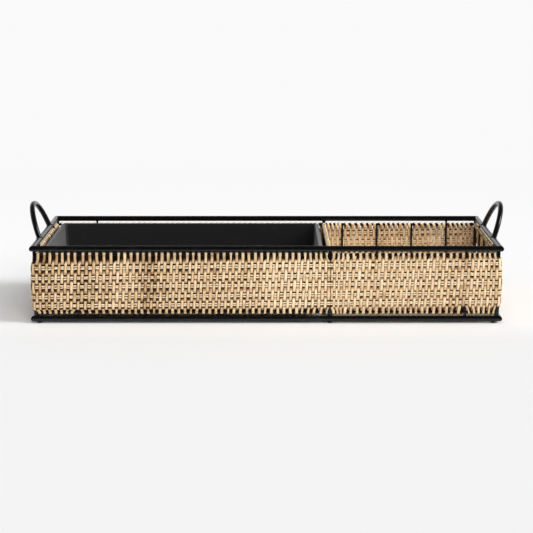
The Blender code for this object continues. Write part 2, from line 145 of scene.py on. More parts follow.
class StationCane(PropertyGroup):
    winding_width: length_property("Winding width", "Width of the flat cane wound on the grids", 0.0055)
    winding_thickness: length_property("Winding thickness", "Thickness of the wound cane", 0.0013)
    band_width: length_property("Band width", "Width of one cane of the pairs woven through", 0.0027)
    band_thickness: length_property("Band thickness", "Thickness of the cane woven through", 0.0011)
    winding_wave: length_property("Winding wave", "How far the wound cane swings at a row", 0.0010)
    band_wave: length_property("Band wave", "How far a band swings at a strand", 0.0013)
    lean: length_property("Lean", "How far the strands lean to the left over the five rows", 0.004)
    seed: IntProperty(name="Seed", description="Which natural irregularities are drawn", default=7, min=0)
    pale: colour_property("Pale cane", "Colour of the palest cane", (0.98, 0.79, 0.53))
    straw: colour_property("Straw cane", "Usual colour of the cane", (0.80, 0.565, 0.33))
    tan: colour_property("Tan cane", "Colour of the darker cane and of flaws", (0.54, 0.35, 0.18))
    brown: colour_property("Brown cane", "Colour of the brownest cane and its edges", (0.25, 0.13, 0.05))
    # The darkest cane colour, used for painted shade deep between the strands and behind the rods
    painted_shade: colour_property("Stain", "Colour of the stain deep between the strands", (0.03, 0.013, 0.005))


class StationIron(PropertyGroup):
    colour: colour_property("Powder coat", "Colour of the rods' coating", (0.0030, 0.0030, 0.0034))
    worn: colour_property("Rubbed coat", "Colour where the coating is rubbed", (0.014, 0.013, 0.013))
    bead: length_property("Weld bead", "Thickness of the weld beads", 0.0009)


class StationTub(PropertyGroup):
    sheet: length_property("Sheet", "Thickness of the tub's sheet", 0.0012)
    colour: colour_property("Tub coat", "Colour of the tub's coating", (0.014, 0.014, 0.014))
    scuffed: colour_property("Scuffed coat", "Colour where the tub is scuffed", (0.05, 0.05, 0.05))


class StationStage(PropertyGroup):
    floor: colour_property("Floor", "Colour of the floor", (0.95, 0.95, 0.955))
    sky: FloatProperty(name="Sky", description="Strength of the light from all round", default=0.60, min=0)
    key: FloatProperty(name="Key", description="Strength of the lamp at the right", default=1.9, min=0)
    front: FloatProperty(name="Front", description="Strength of the lamp in front", default=0.95, min=0)


def math_node(kind, swapped=False):
    """A method that adds a Math node of this kind."""

    def method(wire, other):
        first, second = (other, wire) if swapped else (wire, other)
        return wire.recipe.add("ShaderNodeMath", {"operation": kind}, {0: first, 1: second})

    return method


class Wire:
    """A node's socket that takes part in Python sums, each of which adds a Math node."""

    __add__, __radd__ = math_node("ADD"), math_node("ADD", swapped=True)
    __sub__, __rsub__ = math_node("SUBTRACT"), math_node("SUBTRACT", swapped=True)
    __mul__, __rmul__ = math_node("MULTIPLY"), math_node("MULTIPLY", swapped=True)
    __truediv__ = math_node("DIVIDE")
    __pow__ = math_node("POWER")

    def __init__(self, recipe, socket):
        self.recipe = recipe
        self.socket = socket

    def clamped(self, low=0.0, high=1.0):
        return self.recipe.add("ShaderNodeClamp", {}, {"Value": self, "Min": low, "Max": high})


class Recipe:
    """The node tree of one finish."""

    def __init__(self, tree):
        self.tree = tree
        tree.nodes.clear()

    def add(self, kind, settings, inputs, output=0):
        """Adds a node with its settings and its sockets' values or wires, and returns one output if any."""
        node = self.tree.nodes.new(kind)
        for name, value in settings.items():
            if name == "stops":
                self.set_stops(node.color_ramp, value)
            else:
                setattr(node, name, value)
        for name, value in inputs.items():
            if isinstance(value, Wire):
                self.tree.links.new(value.socket, node.inputs[name])
            else:
                node.inputs[name].default_value = value
        return Wire(self, node.outputs[output]) if node.outputs else None

    def set_stops(self, ramp, stops):
        while len(ramp.elements) < len(stops):
            ramp.elements.new(1.0)
        for element, (place, colour) in zip(ramp.elements, stops):
            element.position = place
            element.color = colour

    def vector(self, x, y, z):
        return self.add("ShaderNodeCombineXYZ", {}, {"X": x, "Y": y, "Z": z})

    def split(self, vector):
        return [self.add("ShaderNodeSeparateXYZ", {}, {"Vector": vector}, axis) for axis in range(3)]

    def noise(self, place, scale, detail, roughness):
        inputs = {"Vector": place, "Scale": scale, "Detail": detail, "Roughness": roughness}
        return self.add("ShaderNodeTexNoise", {}, inputs)

    def blend(self, share, first, second):
        """Mixes two colours."""
        settings = {"data_type": "RGBA"}
        return self.add("ShaderNodeMix", settings, {"Factor": share, 6: first, 7: second}, 2)

    def ramp(self, share, stops):
        return self.add("ShaderNodeValToRGB", {"stops": stops}, {"Fac": share})

    def place(self):
        return self.add("ShaderNodeTexCoord", {}, {}, "Object")

    def ray(self, kind):
        """One where a ray of this kind looks, and zero elsewhere."""
        return self.add("ShaderNodeLightPath", {}, {}, f"Is {kind} Ray")

    def bump(self, height, distance, strength):
        inputs = {"Height": height, "Distance": distance, "Strength": strength}
        return self.add("ShaderNodeBump", {}, inputs)

    def surface(self, colour, roughness, normal, others):
        inputs = {"Base Color": colour, "Roughness": roughness, "Normal": normal, **others}
        return self.add("ShaderNodeBsdfPrincipled", {}, inputs)

    def glow(self, colour):
        return self.add("ShaderNodeEmission", {}, {"Color": colour, "Strength": 1.0})

    def mix_shaders(self, share, first, second):
        return self.add("ShaderNodeMixShader", {}, {0: share, 1: first, 2: second})


def rgba(colour, share=1.0):
    return (*(value * share for value in colour), 1.0)


def grey(value):
    return rgba((value, value, value))


def cane_finish(recipe):
    """Peeled cane: tone by strand, which carries painted light and shade too, grain along the strand,
    flaws, and brown edges that are partly the cane's own and partly painted shade between the strands.
    """
    cane = bpy.context.scene.station_cane
    strand = recipe.add("ShaderNodeAttribute", {"attribute_name": "strand"}, {}, "Vector")
    across, along, pick = recipe.split(strand)
    tone = recipe.add("ShaderNodeAttribute", {"attribute_name": "tone"}, {}, "Fac")
    grain = recipe.noise(recipe.vector(across * 3.2, along * 45, pick * 60), 1.0, 3.0, 0.6)
    blotch = recipe.noise(recipe.vector(across * 0.6, along * 28, pick * 90 + 7), 1.0, 2.0, 0.5)
    shade = (tone + (grain - 0.5) * 0.55 + (blotch - 0.5) * 0.6).clamped()
    # The tone runs down to the darkest colour, which is painted shade deep between the strands
    colours = ((0.0, cane.painted_shade), (0.14, cane.brown), (0.36, cane.tan), (0.6, cane.straw), (1.0, cane.pale))
    colour = recipe.ramp(shade, [(place, rgba(colour)) for place, colour in colours])
    flaw = ((0.42 - grain) * 1.2).clamped(0.0, 0.6)
    colour = recipe.blend(flaw, colour, rgba(cane.tan))
    # Browned edges: partly the cane's own, partly painted shade in the gaps between strands
    edge = ((across * across - 0.6) * 1.2).clamped(0.0, 0.35)
    colour = recipe.blend(edge, colour, rgba(cane.brown))
    bump = recipe.bump(grain, 0.00035, 0.6)
    return recipe.surface(colour, 0.46 + grain * 0.22, bump, {"Specular IOR Level": 0.35})


def iron_finish(recipe):
    """Satin black powder coat with a fine orange-peel skin, rubbed a little here and there."""
    iron = bpy.context.scene.station_iron
    place = recipe.place()
    skin = recipe.noise(place, 900.0, 2.0, 0.5)
    rubs = recipe.noise(place, 38.0, 4.0, 0.65)
    rubbed = ((rubs - 0.55) * 3.0).clamped()
    colour = recipe.blend(rubbed, rgba(iron.colour), rgba(iron.worn))
    bump = recipe.bump(skin, 0.00012, 0.5)
    return recipe.surface(colour, 0.17 + rubs * 0.12, bump, {"Specular IOR Level": 0.38})


def tub_finish(recipe):
    """Matte black coated sheet with speckle and light scuffs."""
    tub = bpy.context.scene.station_tub
    place = recipe.place()
    speck = recipe.noise(place, 1400.0, 1.0, 0.5)
    clouds = recipe.noise(place, 14.0, 4.0, 0.6)
    x, y, z = recipe.split(place)
    scratch = recipe.noise(recipe.vector(x * 30, y * 420, z * 60), 1.0, 3.0, 0.7)
    scuffed = ((scratch - 0.62) * 5.0 * clouds).clamped()
    colour = recipe.blend(scuffed, rgba(tub.colour), rgba(tub.scuffed))
    bump = recipe.bump(speck, 0.00010, 0.5)
    sheen = {"Sheen Weight": 0.35, "Sheen Roughness": 0.4}
    return recipe.surface(colour, 0.42 + clouds * 0.16, bump, sheen)


def rubber_finish(recipe):
    """Matte black rubber with a dusty grain."""
    dust = recipe.noise(recipe.place(), 700.0, 3.0, 0.6)
    colour = recipe.blend(dust, grey(0.012), (0.035, 0.034, 0.033, 1))
    return recipe.surface(colour, 0.75 + dust * 0.15, recipe.bump(dust, 0.0001, 0.4), {})


# Each slot's finish: its name and what makes it
FINISHES = {
    "natural_cane": ("natural_cane_strands", cane_finish),
    "black_iron": ("black_iron_coat", iron_finish),
    "tub_metal": ("matte_tub_coat", tub_finish),
    "foot_rubber": ("soft_foot_rubber", rubber_finish),
}


def finish_named(name, make):
    """The finish of this name, made on its first use."""
    material = bpy.data.materials.get(name)
    if material is None:
        material = bpy.data.materials.new(name)
        material.use_nodes = True
        recipe = Recipe(material.node_tree)
        recipe.add("ShaderNodeOutputMaterial", {}, {"Surface": make(recipe)})
    return material


def mesh_of(name, shape):
    """The mesh of a finished bmesh."""
    mesh = bpy.data.meshes.new(name)
    shape.to_mesh(mesh)
    shape.free()
    return mesh


def add_piece(name, mesh, material):
    piece = bpy.data.objects.new(name, mesh)
    bpy.context.scene.collection.objects.link(piece)
    mesh.materials.append(material)
    return piece


def add_dressed(name, mesh, body, slot, *nodes):
    """Adds a piece that has its slot's finish, rides on this body and stands for these nodes."""
    piece = add_piece(name, mesh, finish_named(*FINISHES[slot]))
    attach(piece, body)
    if nodes:
        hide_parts(*nodes)


class Bundle:
    """Strands and rods gathered for one mesh, with each point's place on its strand."""

    def __init__(self):
        self.points = []
        self.faces = []
        self.marks = []
        self.tones = []
        self.count = 0

    def sweep(self, path, wide, outline, widths, thicknesses, pick=0.0, tone=0.5, back_tone=None, edge=1.0):
        """A closed tube along the path. Wide points across the strand, and outline is its section.
        The tone, with its painted light and shade, is that of the side that points out, and the back tone
        that of the side behind it. Edge says where the strand's edges lie on the scale that the finish
        browns past 0.77, partly as painted shade between strands."""
        path = np.asarray(path, float)
        tangent = np.gradient(path, axis=0)
        tangent /= np.linalg.norm(tangent, axis=1)[:, None]
        wide = np.broadcast_to(np.asarray(wide, float), path.shape)
        wide = wide - tangent * (tangent * wide).sum(1)[:, None]
        wide = wide / np.linalg.norm(wide, axis=1)[:, None]
        proud = np.cross(tangent, wide)
        widths = np.broadcast_to(widths, len(path))[:, None, None]
        thicknesses = np.broadcast_to(thicknesses, len(path))[:, None, None]
        outline = np.asarray(outline, float)
        ring = (
            path[:, None, :]
            + wide[:, None, :] * outline[None, :, :1] * widths / 2
            + proud[:, None, :] * outline[None, :, 1:] * thicknesses / 2
        )
        steps, sides = len(path), len(outline)
        along = np.concatenate([[0], np.cumsum(np.linalg.norm(np.diff(path, axis=0), axis=1))])
        marks = np.zeros((steps, sides, 3))
        marks[:, :, 0] = outline[:, 0] * edge
        marks[:, :, 1] = along[:, None]
        marks[:, :, 2] = np.broadcast_to(pick, steps)[:, None]
        row, side = np.meshgrid(np.arange(steps - 1), np.arange(sides), indexing="ij")
        after = (side + 1) % sides
        quads = np.stack(
            [row * sides + side, row * sides + after, (row + 1) * sides + after, (row + 1) * sides + side],
            axis=-1,
        ).reshape(-1, 4)
        self.points.append(ring.reshape(-1, 3))
        self.marks.append(marks.reshape(-1, 3))
        tone = np.broadcast_to(tone, steps)
        back_tone = tone if back_tone is None else np.broadcast_to(back_tone, steps)
        front = (outline[:, 1] + 1) / 2
        self.tones.append((np.outer(tone, front) + np.outer(back_tone, 1 - front)).ravel())
        self.faces += (quads + self.count).tolist()
        self.faces.append([self.count + side for side in reversed(range(sides))])
        last = self.count + (steps - 1) * sides
        self.faces.append([last + side for side in range(sides)])
        self.count += steps * sides

    def placed(self, turn, origin):
        """Moves everything gathered so far from a panel's own axes to the station's."""
        self.points = [points @ turn.T + origin for points in self.points]
        return self

    def join(self, other):
        self.points += other.points
        self.marks += other.marks
        self.tones += other.tones
        self.faces += [[corner + self.count for corner in face] for face in other.faces]
        self.count += other.count

    def piece(self, name, slot, *nodes, sharp=None):
        """Makes one piece of the frame from everything gathered."""
        mesh = bpy.data.meshes.new(name)
        mesh.from_pydata(np.concatenate(self.points), [], self.faces)
        strand = mesh.attributes.new("strand", "FLOAT_VECTOR", "POINT")
        strand.data.foreach_set("vector", np.concatenate(self.marks).astype(np.float32).ravel())
        tone = mesh.attributes.new("tone", "FLOAT", "POINT")
        tone.data.foreach_set("value", np.concatenate(self.tones).astype(np.float32))
        mesh.shade_smooth()
        if sharp:
            mesh.set_sharp_from_angle(angle=sharp)
        add_dressed(name, mesh, "frame", slot, *nodes)


# The section of flat cane
FLAT_OVAL = [(1, 0), (0.6, 0.92), (-0.6, 0.92), (-1, 0), (-0.6, -0.92), (0.6, -0.92)]


def circle(sides):
    angles = [2 * math.pi * side / sides for side in range(sides)]
    return [(math.cos(angle), math.sin(angle)) for angle in angles]


def smooth_step(share):
    share = np.clip(share, 0, 1)
    return share * share * (3 - 2 * share)


# An upright in a panel: its place, its radius, if it runs past the thin rods, and how far from it the
# nearest strands on its left and right stand at the upper rod and at the lower one
Post = namedtuple("Post", "place radius tall room_above room_below")

CORNER_ROOM = (0.0071, 0.0071)
DIVIDER_ROOM = (0.0061, 0.0061)
SHORT_ROOM = (0.0056, 0.0056)
SHORT_ROOM_BELOW = (0.0095, 0.0004)
TALL_ROOM_BELOW = (0.0120, 0.0061)
FLOOR_ROOM = (0.003, 0.003)

# The greatest spacing of the outer legs, and how near a post's middle a strand goes to the preferred side
GREATEST_PITCH = 0.0121
NEARLY_BEHIND = 0.0005

# How far the divider's bands end short of the front and back walls' lines
DIVIDER_END = 0.0046

# Spacing of a floor's turns and of its rows, and how far inside its edges the bands end and the rows stay
FLOOR_PITCH = 0.0108
FLOOR_ROW_PITCH = 0.0155
FLOOR_BANDS_IN = 0.0004
FLOOR_ROWS_IN = 0.008

# Browner stretches of the walls: middle, half width and how much darker
BROWNER = ((-0.204, 0.018, 0.32), (-0.315, 0.02, 0.10), (0.33, 0.06, 0.12))

# Round a corner post: the bend's radius, its length to the diagonal, and where the strip beside that lies
CORNER_BEND = 0.0055
CORNER_ARC = CORNER_BEND * math.pi / 4
CORNER_FILL = -CORNER_ARC + 0.0027

# How far from a panel's end its outermost strand stands in the rows, by what the end is
FIRST = {"corner": CORNER_FILL + 0.0053, "seam": 0.0027}

# Over how many legs each way spacing is evened, and half the number that share the outermost one's shift
SHARED_OVER = 6

# The run over which strands come to lean, and from a panel's end the run over which bands come to wobble
LEAN_RUN = 0.04
WOBBLE_RUN = 0.02

# Painted light and shade: a strand in front of a row is painted a bit paler, one that comes out from behind
# a row is painted darker between rows, and a band behind a leg is painted in shade
PROUD_PAINTED_LIGHT = -0.12
BETWEEN_PAINTED_SHADE = 0.12
BAND_PAINTED_SHADE = 0.8

# Heights about a row's middle, with the share of a strand's swing and of its painted shade there
ROW_SHAPE = (
    (0.0061, 0.5, 0.05),
    (0.0046, 1.0, 1.0),
    (0.0, 1.0, 1.0),
    (-0.0034, 1.0, 0.75),
    (-0.0062, 0.35, 0.35),
)

# Points of a leg between a thin rod and the nearest row, as shares of the way, and how much of the way
# it keeps to its place at the upper rod and at the lower one
LEG_SHARES = (0.0, 0.3, 0.6, 0.82)
UPPER_BEND = 0.45
LOWER_BEND = 0.12

# The share of the way from a thin rod over which a leg keeps its full painted shade
FULL_PAINTED_SHADE = 0.3

# Steps of half a turn round a thin rod, how fast a loop crosses from leg to leg, and how late a lower one
# starts to
LOOP_STEPS = 5
CROSSING = 1.7
CROSSING_WAIT = 0.41

# How the painted light and shade of a lower loop change along it, paler where it leaves its leg and darker
# as it curves under the rod, in shares of how much paler an upper one is painted
LOWER_LOOP_PAINTED_SHADING = np.array([-1.0, -0.6, 1.2, 2.0, 2.0])

# Scatter from leg to leg: drift of the tone over nine legs, tone, width, and how much more the loops stray
LEG_DRIFT = 0.12
LEG_TONE = 0.05
LEG_WIDTH = 0.03
LOOP_STRAY = 1.6

# Past the outer rows, where a strand widens again and over what height, and a loop's width of its pitch
WIDENS_FROM = 0.004
WIDENS_OVER = 0.006
LOOP_FILL = 1.03

# How far a corner's strip goes on above and below its rows, its width as a share, and its scatter of tone
STRIP_ABOVE = 0.0035
STRIP_BELOW = 0.0030
STRIP_WIDTH = 0.93
STRIP_TONE = 0.08

# A band's patchiness against a strand's, its scatter of tone, and its edges' place across, short of the
# browning that is partly painted shade between strands
BAND_PATCHY = 1.2
BAND_TONE = 0.05
BAND_EDGE = 0.7

# Lengths of a band's uneven waves, as radians for each metre, and their heights
WAVES = ((95, 0.0003), (210, 0.0002))


class PanelPlan:
    """What a woven panel is made from, in its own axes: along the run, up the panel and out of it."""

    def __init__(self, axes, origin, upper, lower, posts, turns):
        self.turn = np.array(axes).T
        self.origin = np.array(origin)
        self.upper, self.lower = upper, lower
        self.posts, self.turns = posts, turns
        self.start, self.end = posts[0].place, posts[-1].place

    def surface(self, height):
        """How far out the middle of the woven sheet lies at this height."""
        share = (self.upper - height) / (self.upper - self.lower)
        return self.depth + self.bulge * (1 - (2 * share - 1) ** 2)

    def lean_at(self, place):
        """How far a strand leans over the rows. It stands upright beside a corner and at the divider."""
        nearest = min(place - self.start, self.end - place)
        return self.lean * min(1.0, max(0.0, nearest / LEAN_RUN))

    def corners(self):
        """The ends of the panel that are corner posts, each with its sign along the run."""
        ends = ((self.start, self.ends[0], -1), (self.end, self.ends[1], 1))
        return [(end, sign) for end, kind, sign in ends if kind == "corner"]

    def bent(self, path, wide):
        """Turns what runs past a corner post round that post, and the strand's width with it."""
        path = np.array(path, float)
        wide = np.array(np.broadcast_to(np.asarray(wide, float), path.shape))
        for end, sign in self.corners():
            past = np.maximum((path[:, 0] - end) * sign, 0)
            angle = past / CORNER_BEND
            reach = path[:, 2].copy()
            path[:, 0] += sign * (reach * np.sin(angle) - past)
            path[:, 2] = reach * np.cos(angle)
            along, out = wide[:, 0].copy(), wide[:, 2].copy()
            wide[:, 0] = along * np.cos(angle) + sign * out * np.sin(angle)
            wide[:, 2] = out * np.cos(angle) - sign * along * np.sin(angle)
        return path, wide


class WallPlan(PanelPlan):
    """The plan of a wall that stands on the line of its grid."""

    # The sheet's bow and depth, the upper and lower loops' radius, the spacing in a pair of bands, the lean
    # of the inner legs' loops, and how far strands stray
    bulge = BULGE
    depth = SHEET_DEPTH
    loop_radius = 0.00325
    foot_radius = 0.0030
    band_gap = 0.0034
    inner_lean = 0.0016
    stray = 0.00025
    # Shares: a strand's width of its pitch, the lower loops' thickness, how late an inner leg turns out
    fill = 0.95
    foot_thin = 0.8
    late = 0.3
    # Tone: how patchy it is; and painted light: how much paler the bands and the loops are painted
    patchy = 0.13
    band_painted_light = 0.45
    loop_painted_light = 0.45
    # Painted shade in the recesses and behind the rods: how uneven it is, how much inner legs, outer legs
    # and inner legs' feet have, and its share on the side that faces inward
    uneven = 0.7
    inner_painted_shade = 0.8
    outer_painted_shade = 0.8
    foot_painted_shade = 0.75
    inside = 1.0

    def __init__(self, run, out, distance, posts, turns, ends):
        super().__init__((run, UP, out), out * distance, UPPER_Z, LOWER_Z, posts, turns)
        self.run_x = run.x
        self.ends = ends
        self.lean = bpy.context.scene.station_cane.lean

    def station_x(self, place):
        return self.run_x * place + self.origin[0]

    def rows(self, place):
        return [height + ROW_RISE * self.station_x(place) for height in ROW_HEIGHTS]

    def painted_shade(self, place):
        """Strength of the painted shade in the recesses, which fades towards the right."""
        return 1.28 - 0.4 * self.station_x(place)

    def tone(self, place):
        """Drift of the cane's tone: paler from the left up to the divider, with a few browner stretches."""
        x = self.station_x(place)
        browner = sum(depth * math.exp(-(((x - centre) / reach) ** 2)) for centre, reach, depth in BROWNER)
        return 0.635 + 0.03 * math.sin(x * 23 + 1.0) + 0.42 * min(x, 0.11) - browner


class FloorPlan(PanelPlan):
    """The plan of a flat floor panel, woven more closely and evenly than a wall."""

    bulge = depth = lean = inner_lean = 0.0
    band_gap = 0.0031
    stray = 0.0001
    fill = 0.95
    foot_thin = 1.0
    late = 0.0
    patchy = 0.05
    # The bands are painted a little paler, the loops not at all, and nothing is painted in shade behind the
    # rods
    band_painted_light = 0.1
    loop_painted_light = 0.0
    uneven = inner_painted_shade = outer_painted_shade = foot_painted_shade = 0.0
    inside = 1.0
    ends = ("stop", "stop")

    def __init__(self, name, cane):
        low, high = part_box(name)
        radius = half_size(name, "z") - cane.winding_thickness / 2 - CLEARANCE
        half = half_size(name, "x")
        reach = half_size(name, "y") - radius - cane.winding_thickness / 2
        turns = int((2 * half - cane.winding_width) / FLOOR_PITCH) + 1
        posts = [Post(place, 0, False, FLOOR_ROOM, FLOOR_ROOM) for place in (-half, half)]
        super().__init__((RIGHT, BACK, UP), (low + high) / 2, reach, -reach, posts, [turns])
        self.loop_radius = self.foot_radius = radius
        self.start += FLOOR_BANDS_IN
        self.end -= FLOOR_BANDS_IN
        count = 2 * int((reach - FLOOR_ROWS_IN) / FLOOR_ROW_PITCH) + 1
        self.heights = [FLOOR_ROW_PITCH * (step - (count - 1) / 2) for step in range(count)][::-1]

    def rows(self, place):
        return self.heights

    # Strength of the painted shade in the recesses
    def painted_shade(self, place):
        return 0.3

    def tone(self, place):
        return 1.0


def spread(posts, turns, rooms):
    """Places of the outer legs: so many between each post and the next, clear of both."""
    places = []
    for before, after, room_before, room_after, count in zip(posts, posts[1:], rooms, rooms[1:], turns):
        first = before.place + room_before[1]
        last = after.place - room_after[0]
        pitch = (last - first) / (count - 1)
        if pitch > GREATEST_PITCH:
            spare = (pitch - GREATEST_PITCH) * (count - 1)
            first += spare / 2
            pitch = GREATEST_PITCH
        places += [first + pitch * step for step in range(count)]
    return np.array(places)


def with_inner_legs(outer):
    """All legs from left to right: the inner ones lie halfway between the outer ones."""
    legs = np.zeros(2 * len(outer) - 1)
    legs[::2] = outer
    legs[1::2] = (outer[:-1] + outer[1:]) / 2
    return legs


def beside_posts(place, half_width, posts, prefer):
    """The nearest place whose strand stands clear of the posts."""
    for post in posts:
        least = post.radius + half_width + CLEARANCE
        gap = place - post.place
        if abs(gap) < least:
            side = prefer if abs(gap) < NEARLY_BEHIND else math.copysign(1, gap)
            return post.place + side * least
    return place


def leg_places(plan, cane, dice):
    """Where each leg stands at the upper rod, in the rows and at the lower rod."""
    above = with_inner_legs(spread(plan.posts, plan.turns, [post.room_above for post in plan.posts]))
    below = with_inner_legs(spread(plan.posts, plan.turns, [post.room_below for post in plan.posts]))
    middle = (above + below) / 2
    reach = SHARED_OVER
    fade = (1 - np.arange(2 * reach) / (2 * reach)) ** 2
    first, last = (FIRST.get(kind) for kind in plan.ends)
    if first:
        middle[: 2 * reach] += (plan.start + first - middle[0]) * fade
    if last:
        middle[-2 * reach :] += (plan.end - last - middle[-1]) * fade[::-1]
    before = 2 * middle[0] - middle[reach:0:-1]
    after = 2 * middle[-1] - middle[-2 : -reach - 2 : -1]
    weights = np.hanning(2 * reach + 3)[1:-1]
    middle = np.convolve(np.concatenate([before, middle, after]), weights / weights.sum(), "valid")
    above[1::2] += plan.inner_lean
    below[1::2] -= plan.inner_lean
    above += dice.normal(0, LOOP_STRAY * plan.stray, len(above))
    below += dice.normal(0, LOOP_STRAY * plan.stray, len(below))
    middle[1:-1] += dice.normal(0, plan.stray, len(middle) - 2)
    tall = [post for post in plan.posts if post.tall]
    for leg in range(len(above)):
        solid = plan.posts if leg % 2 else tall
        above[leg] = beside_posts(above[leg], cane.winding_width / 2, solid, 1)
        below[leg] = beside_posts(below[leg], cane.winding_width / 2, solid, -1)
    return above, middle, below


def row_points(plan, cane, place, outside):
    """Heights and depths of a strand through the rows, in front of one row and behind the next, and the
    painted shade there of its outer and its inner side, negative where it is painted paler."""
    rows = plan.rows(place)
    heights, depths, painted_shades = [], [], []
    for number, row in enumerate(rows):
        swing = outside if number % 2 else -outside
        for offset, share, painted_shade in ROW_SHAPE:
            heights.append(row + offset)
            depths.append(plan.surface(row + offset) + swing * share * cane.winding_wave)
            painted_shades.append((painted_shade, PROUD_PAINTED_LIGHT) if swing < 0 else (PROUD_PAINTED_LIGHT, painted_shade))
        if number + 1 < len(rows):
            heights.append((row + rows[number + 1]) / 2)
            depths.append(plan.surface(heights[-1]))
            painted_shades.append((BETWEEN_PAINTED_SHADE, BETWEEN_PAINTED_SHADE) if swing < 0 else (0.0, 0.0))
    return heights, depths, painted_shades


def leg_path(plan, cane, leg, places):
    """One leg from the upper rod to the lower one, outside the rods if its number is even, else inside,
    with the painted shade of its two sides."""
    above, middle, below = (values[leg] for values in places)
    outside = 1 if leg % 2 == 0 else -1
    heights, depths, painted_shades = row_points(plan, cane, middle, outside)
    top, bottom = heights[0], heights[-1]
    loop, foot_loop = plan.loop_radius * outside, plan.foot_radius * outside
    late = 0.0 if outside > 0 else plan.late
    before, after = [], []
    for share in LEG_SHARES:
        turned = smooth_step((share - late) / (1 - late))
        # Painted shade behind and below the thin rods, fading along the leg: on the inner side of outer
        # legs, and on the outer side of inner legs and their feet
        hidden = 1 - smooth_step((share - FULL_PAINTED_SHADE) / (1 - FULL_PAINTED_SHADE))
        sides = (0.0, plan.outer_painted_shade * hidden) if outside > 0 else (plan.inner_painted_shade * hidden, 0.0)
        foot = sides if outside > 0 else (plan.foot_painted_shade * hidden, 0.0)
        before.append((plan.upper + (top - plan.upper) * share, loop + (depths[0] - loop) * turned, *sides))
        depth = foot_loop + (depths[-1] - foot_loop) * turned
        after.append((plan.lower + (bottom - plan.lower) * share, depth, *foot))
    before, after = np.array(before), np.array(after[::-1])
    heights = np.concatenate([before[:, 0], heights, after[:, 0]])
    depths = np.concatenate([before[:, 1], depths, after[:, 1]])
    painted_shades = np.concatenate([before[:, 2:], painted_shades, after[:, 2:]])
    half_lean = plan.lean_at(middle) / 2
    lower_bend = plan.lower + LOWER_BEND * (bottom - plan.lower)
    upper_bend = plan.upper - UPPER_BEND * (plan.upper - top)
    bends = [plan.lower, lower_bend, bottom, top, upper_bend, plan.upper]
    places_there = [below, below, middle - half_lean, middle + half_lean, above, above]
    run = np.interp(heights, bends, places_there)
    return np.stack([run, heights, depths], axis=1), painted_shades


def loop_path(plan, start, end, over):
    """Half a turn round a thin rod: over the upper one to the outside, or back under the lower one."""
    points = []
    for step in range(1, LOOP_STEPS + 1):
        share = step / (LOOP_STEPS + 1)
        angle = math.pi * share
        height = plan.upper if over else plan.lower
        radius = plan.loop_radius if over else plan.foot_radius
        rise = radius * math.sin(angle) * (1 if over else -1)
        out = radius * math.cos(angle) * (-1 if over else 1)
        moved = smooth_step((share if over else share - CROSSING_WAIT) * CROSSING)
        points.append((start + (end - start) * moved, height + rise, out))
    return np.array(points)


def scatter(dice, count, over):
    """Random numbers about zero, each the mean of so many, which makes neighbours alike."""
    return np.convolve(dice.normal(0, 1, count + over - 1), np.ones(over) / over, "valid")


def wound_strand(plan, cane, dice, bundle):
    """Winds the one strand from end to end of the panel. Returns its legs' places in the rows."""
    places = leg_places(plan, cane, dice)
    above, middle, below = places
    parts, tones, back_tones, widths = [], [], [], []
    count = len(above)
    pitch, loop_pitch = np.gradient(middle), np.gradient(above)
    leg_tones = scatter(dice, count, 9) * LEG_DRIFT + dice.normal(0, LEG_TONE, count)
    leg_widths = 1 + dice.normal(0, LEG_WIDTH, count)

    def take(part, leg, painted_shade, back_painted_shade):
        parts.append(part)
        tone = plan.tone(middle[leg]) + leg_tones[leg] + scatter(dice, len(part), 2) * plan.patchy
        # Painted shade darkens the tone; its strength drifts along the panel and is uneven
        strength = plan.painted_shade(middle[leg]) * (1 + scatter(dice, len(part), 5) * plan.uneven)
        tones.append(tone - strength * painted_shade)
        back_tones.append(tone - strength * back_painted_shade * plan.inside)
        squeezed = min(cane.winding_width, plan.fill * pitch[leg])
        full = min(cane.winding_width, LOOP_FILL * loop_pitch[leg])
        rows = plan.rows(middle[leg])
        first, last = rows[0] + WIDENS_FROM, rows[-1] - WIDENS_FROM
        away = np.maximum(part[:, 1] - first, last - part[:, 1]) / WIDENS_OVER
        width = squeezed + (full - squeezed) * np.clip(away, 0, 1)
        widths.append(width * leg_widths[leg])

    # Painted light and shade on the loops: the upper ones painted paler, the lower ones paler then darker
    # underneath, and their back sides painted in shade
    over, under = np.full(LOOP_STEPS, -plan.loop_painted_light), plan.loop_painted_light * LOWER_LOOP_PAINTED_SHADING
    behind = np.full(LOOP_STEPS, plan.outer_painted_shade)
    take(loop_path(plan, above[0], above[0], True)[2:], 0, over[2:], behind[2:])
    for leg in range(count):
        path, painted_shades = leg_path(plan, cane, leg, places)
        if leg % 2:
            take(path[::-1], leg, painted_shades[::-1, 1], painted_shades[::-1, 0])
            take(loop_path(plan, above[leg], above[leg + 1], True), leg, over, behind)
        else:
            take(path, leg, painted_shades[:, 0], painted_shades[:, 1])
            after, steps = (below[leg + 1], LOOP_STEPS) if leg + 1 < count else (below[leg], 3)
            take(loop_path(plan, below[leg], after, False)[:steps], leg, under[:steps], behind[:steps])

    def softened(values):
        return np.convolve(np.pad(values, 1, "edge"), np.ones(3) / 3, "valid")

    path = np.concatenate(parts)
    width = softened(np.concatenate(widths))
    thickness = cane.winding_thickness * softened(np.where(path[:, 1] < plan.lower, plan.foot_thin, 1.0))
    path, wide = plan.bent(path, (1, 0, 0))
    tone, back_tone = np.concatenate(tones), np.concatenate(back_tones)
    bundle.sweep(path, wide, FLAT_OVAL, width, thickness, dice.random(), tone, back_tone)
    return middle


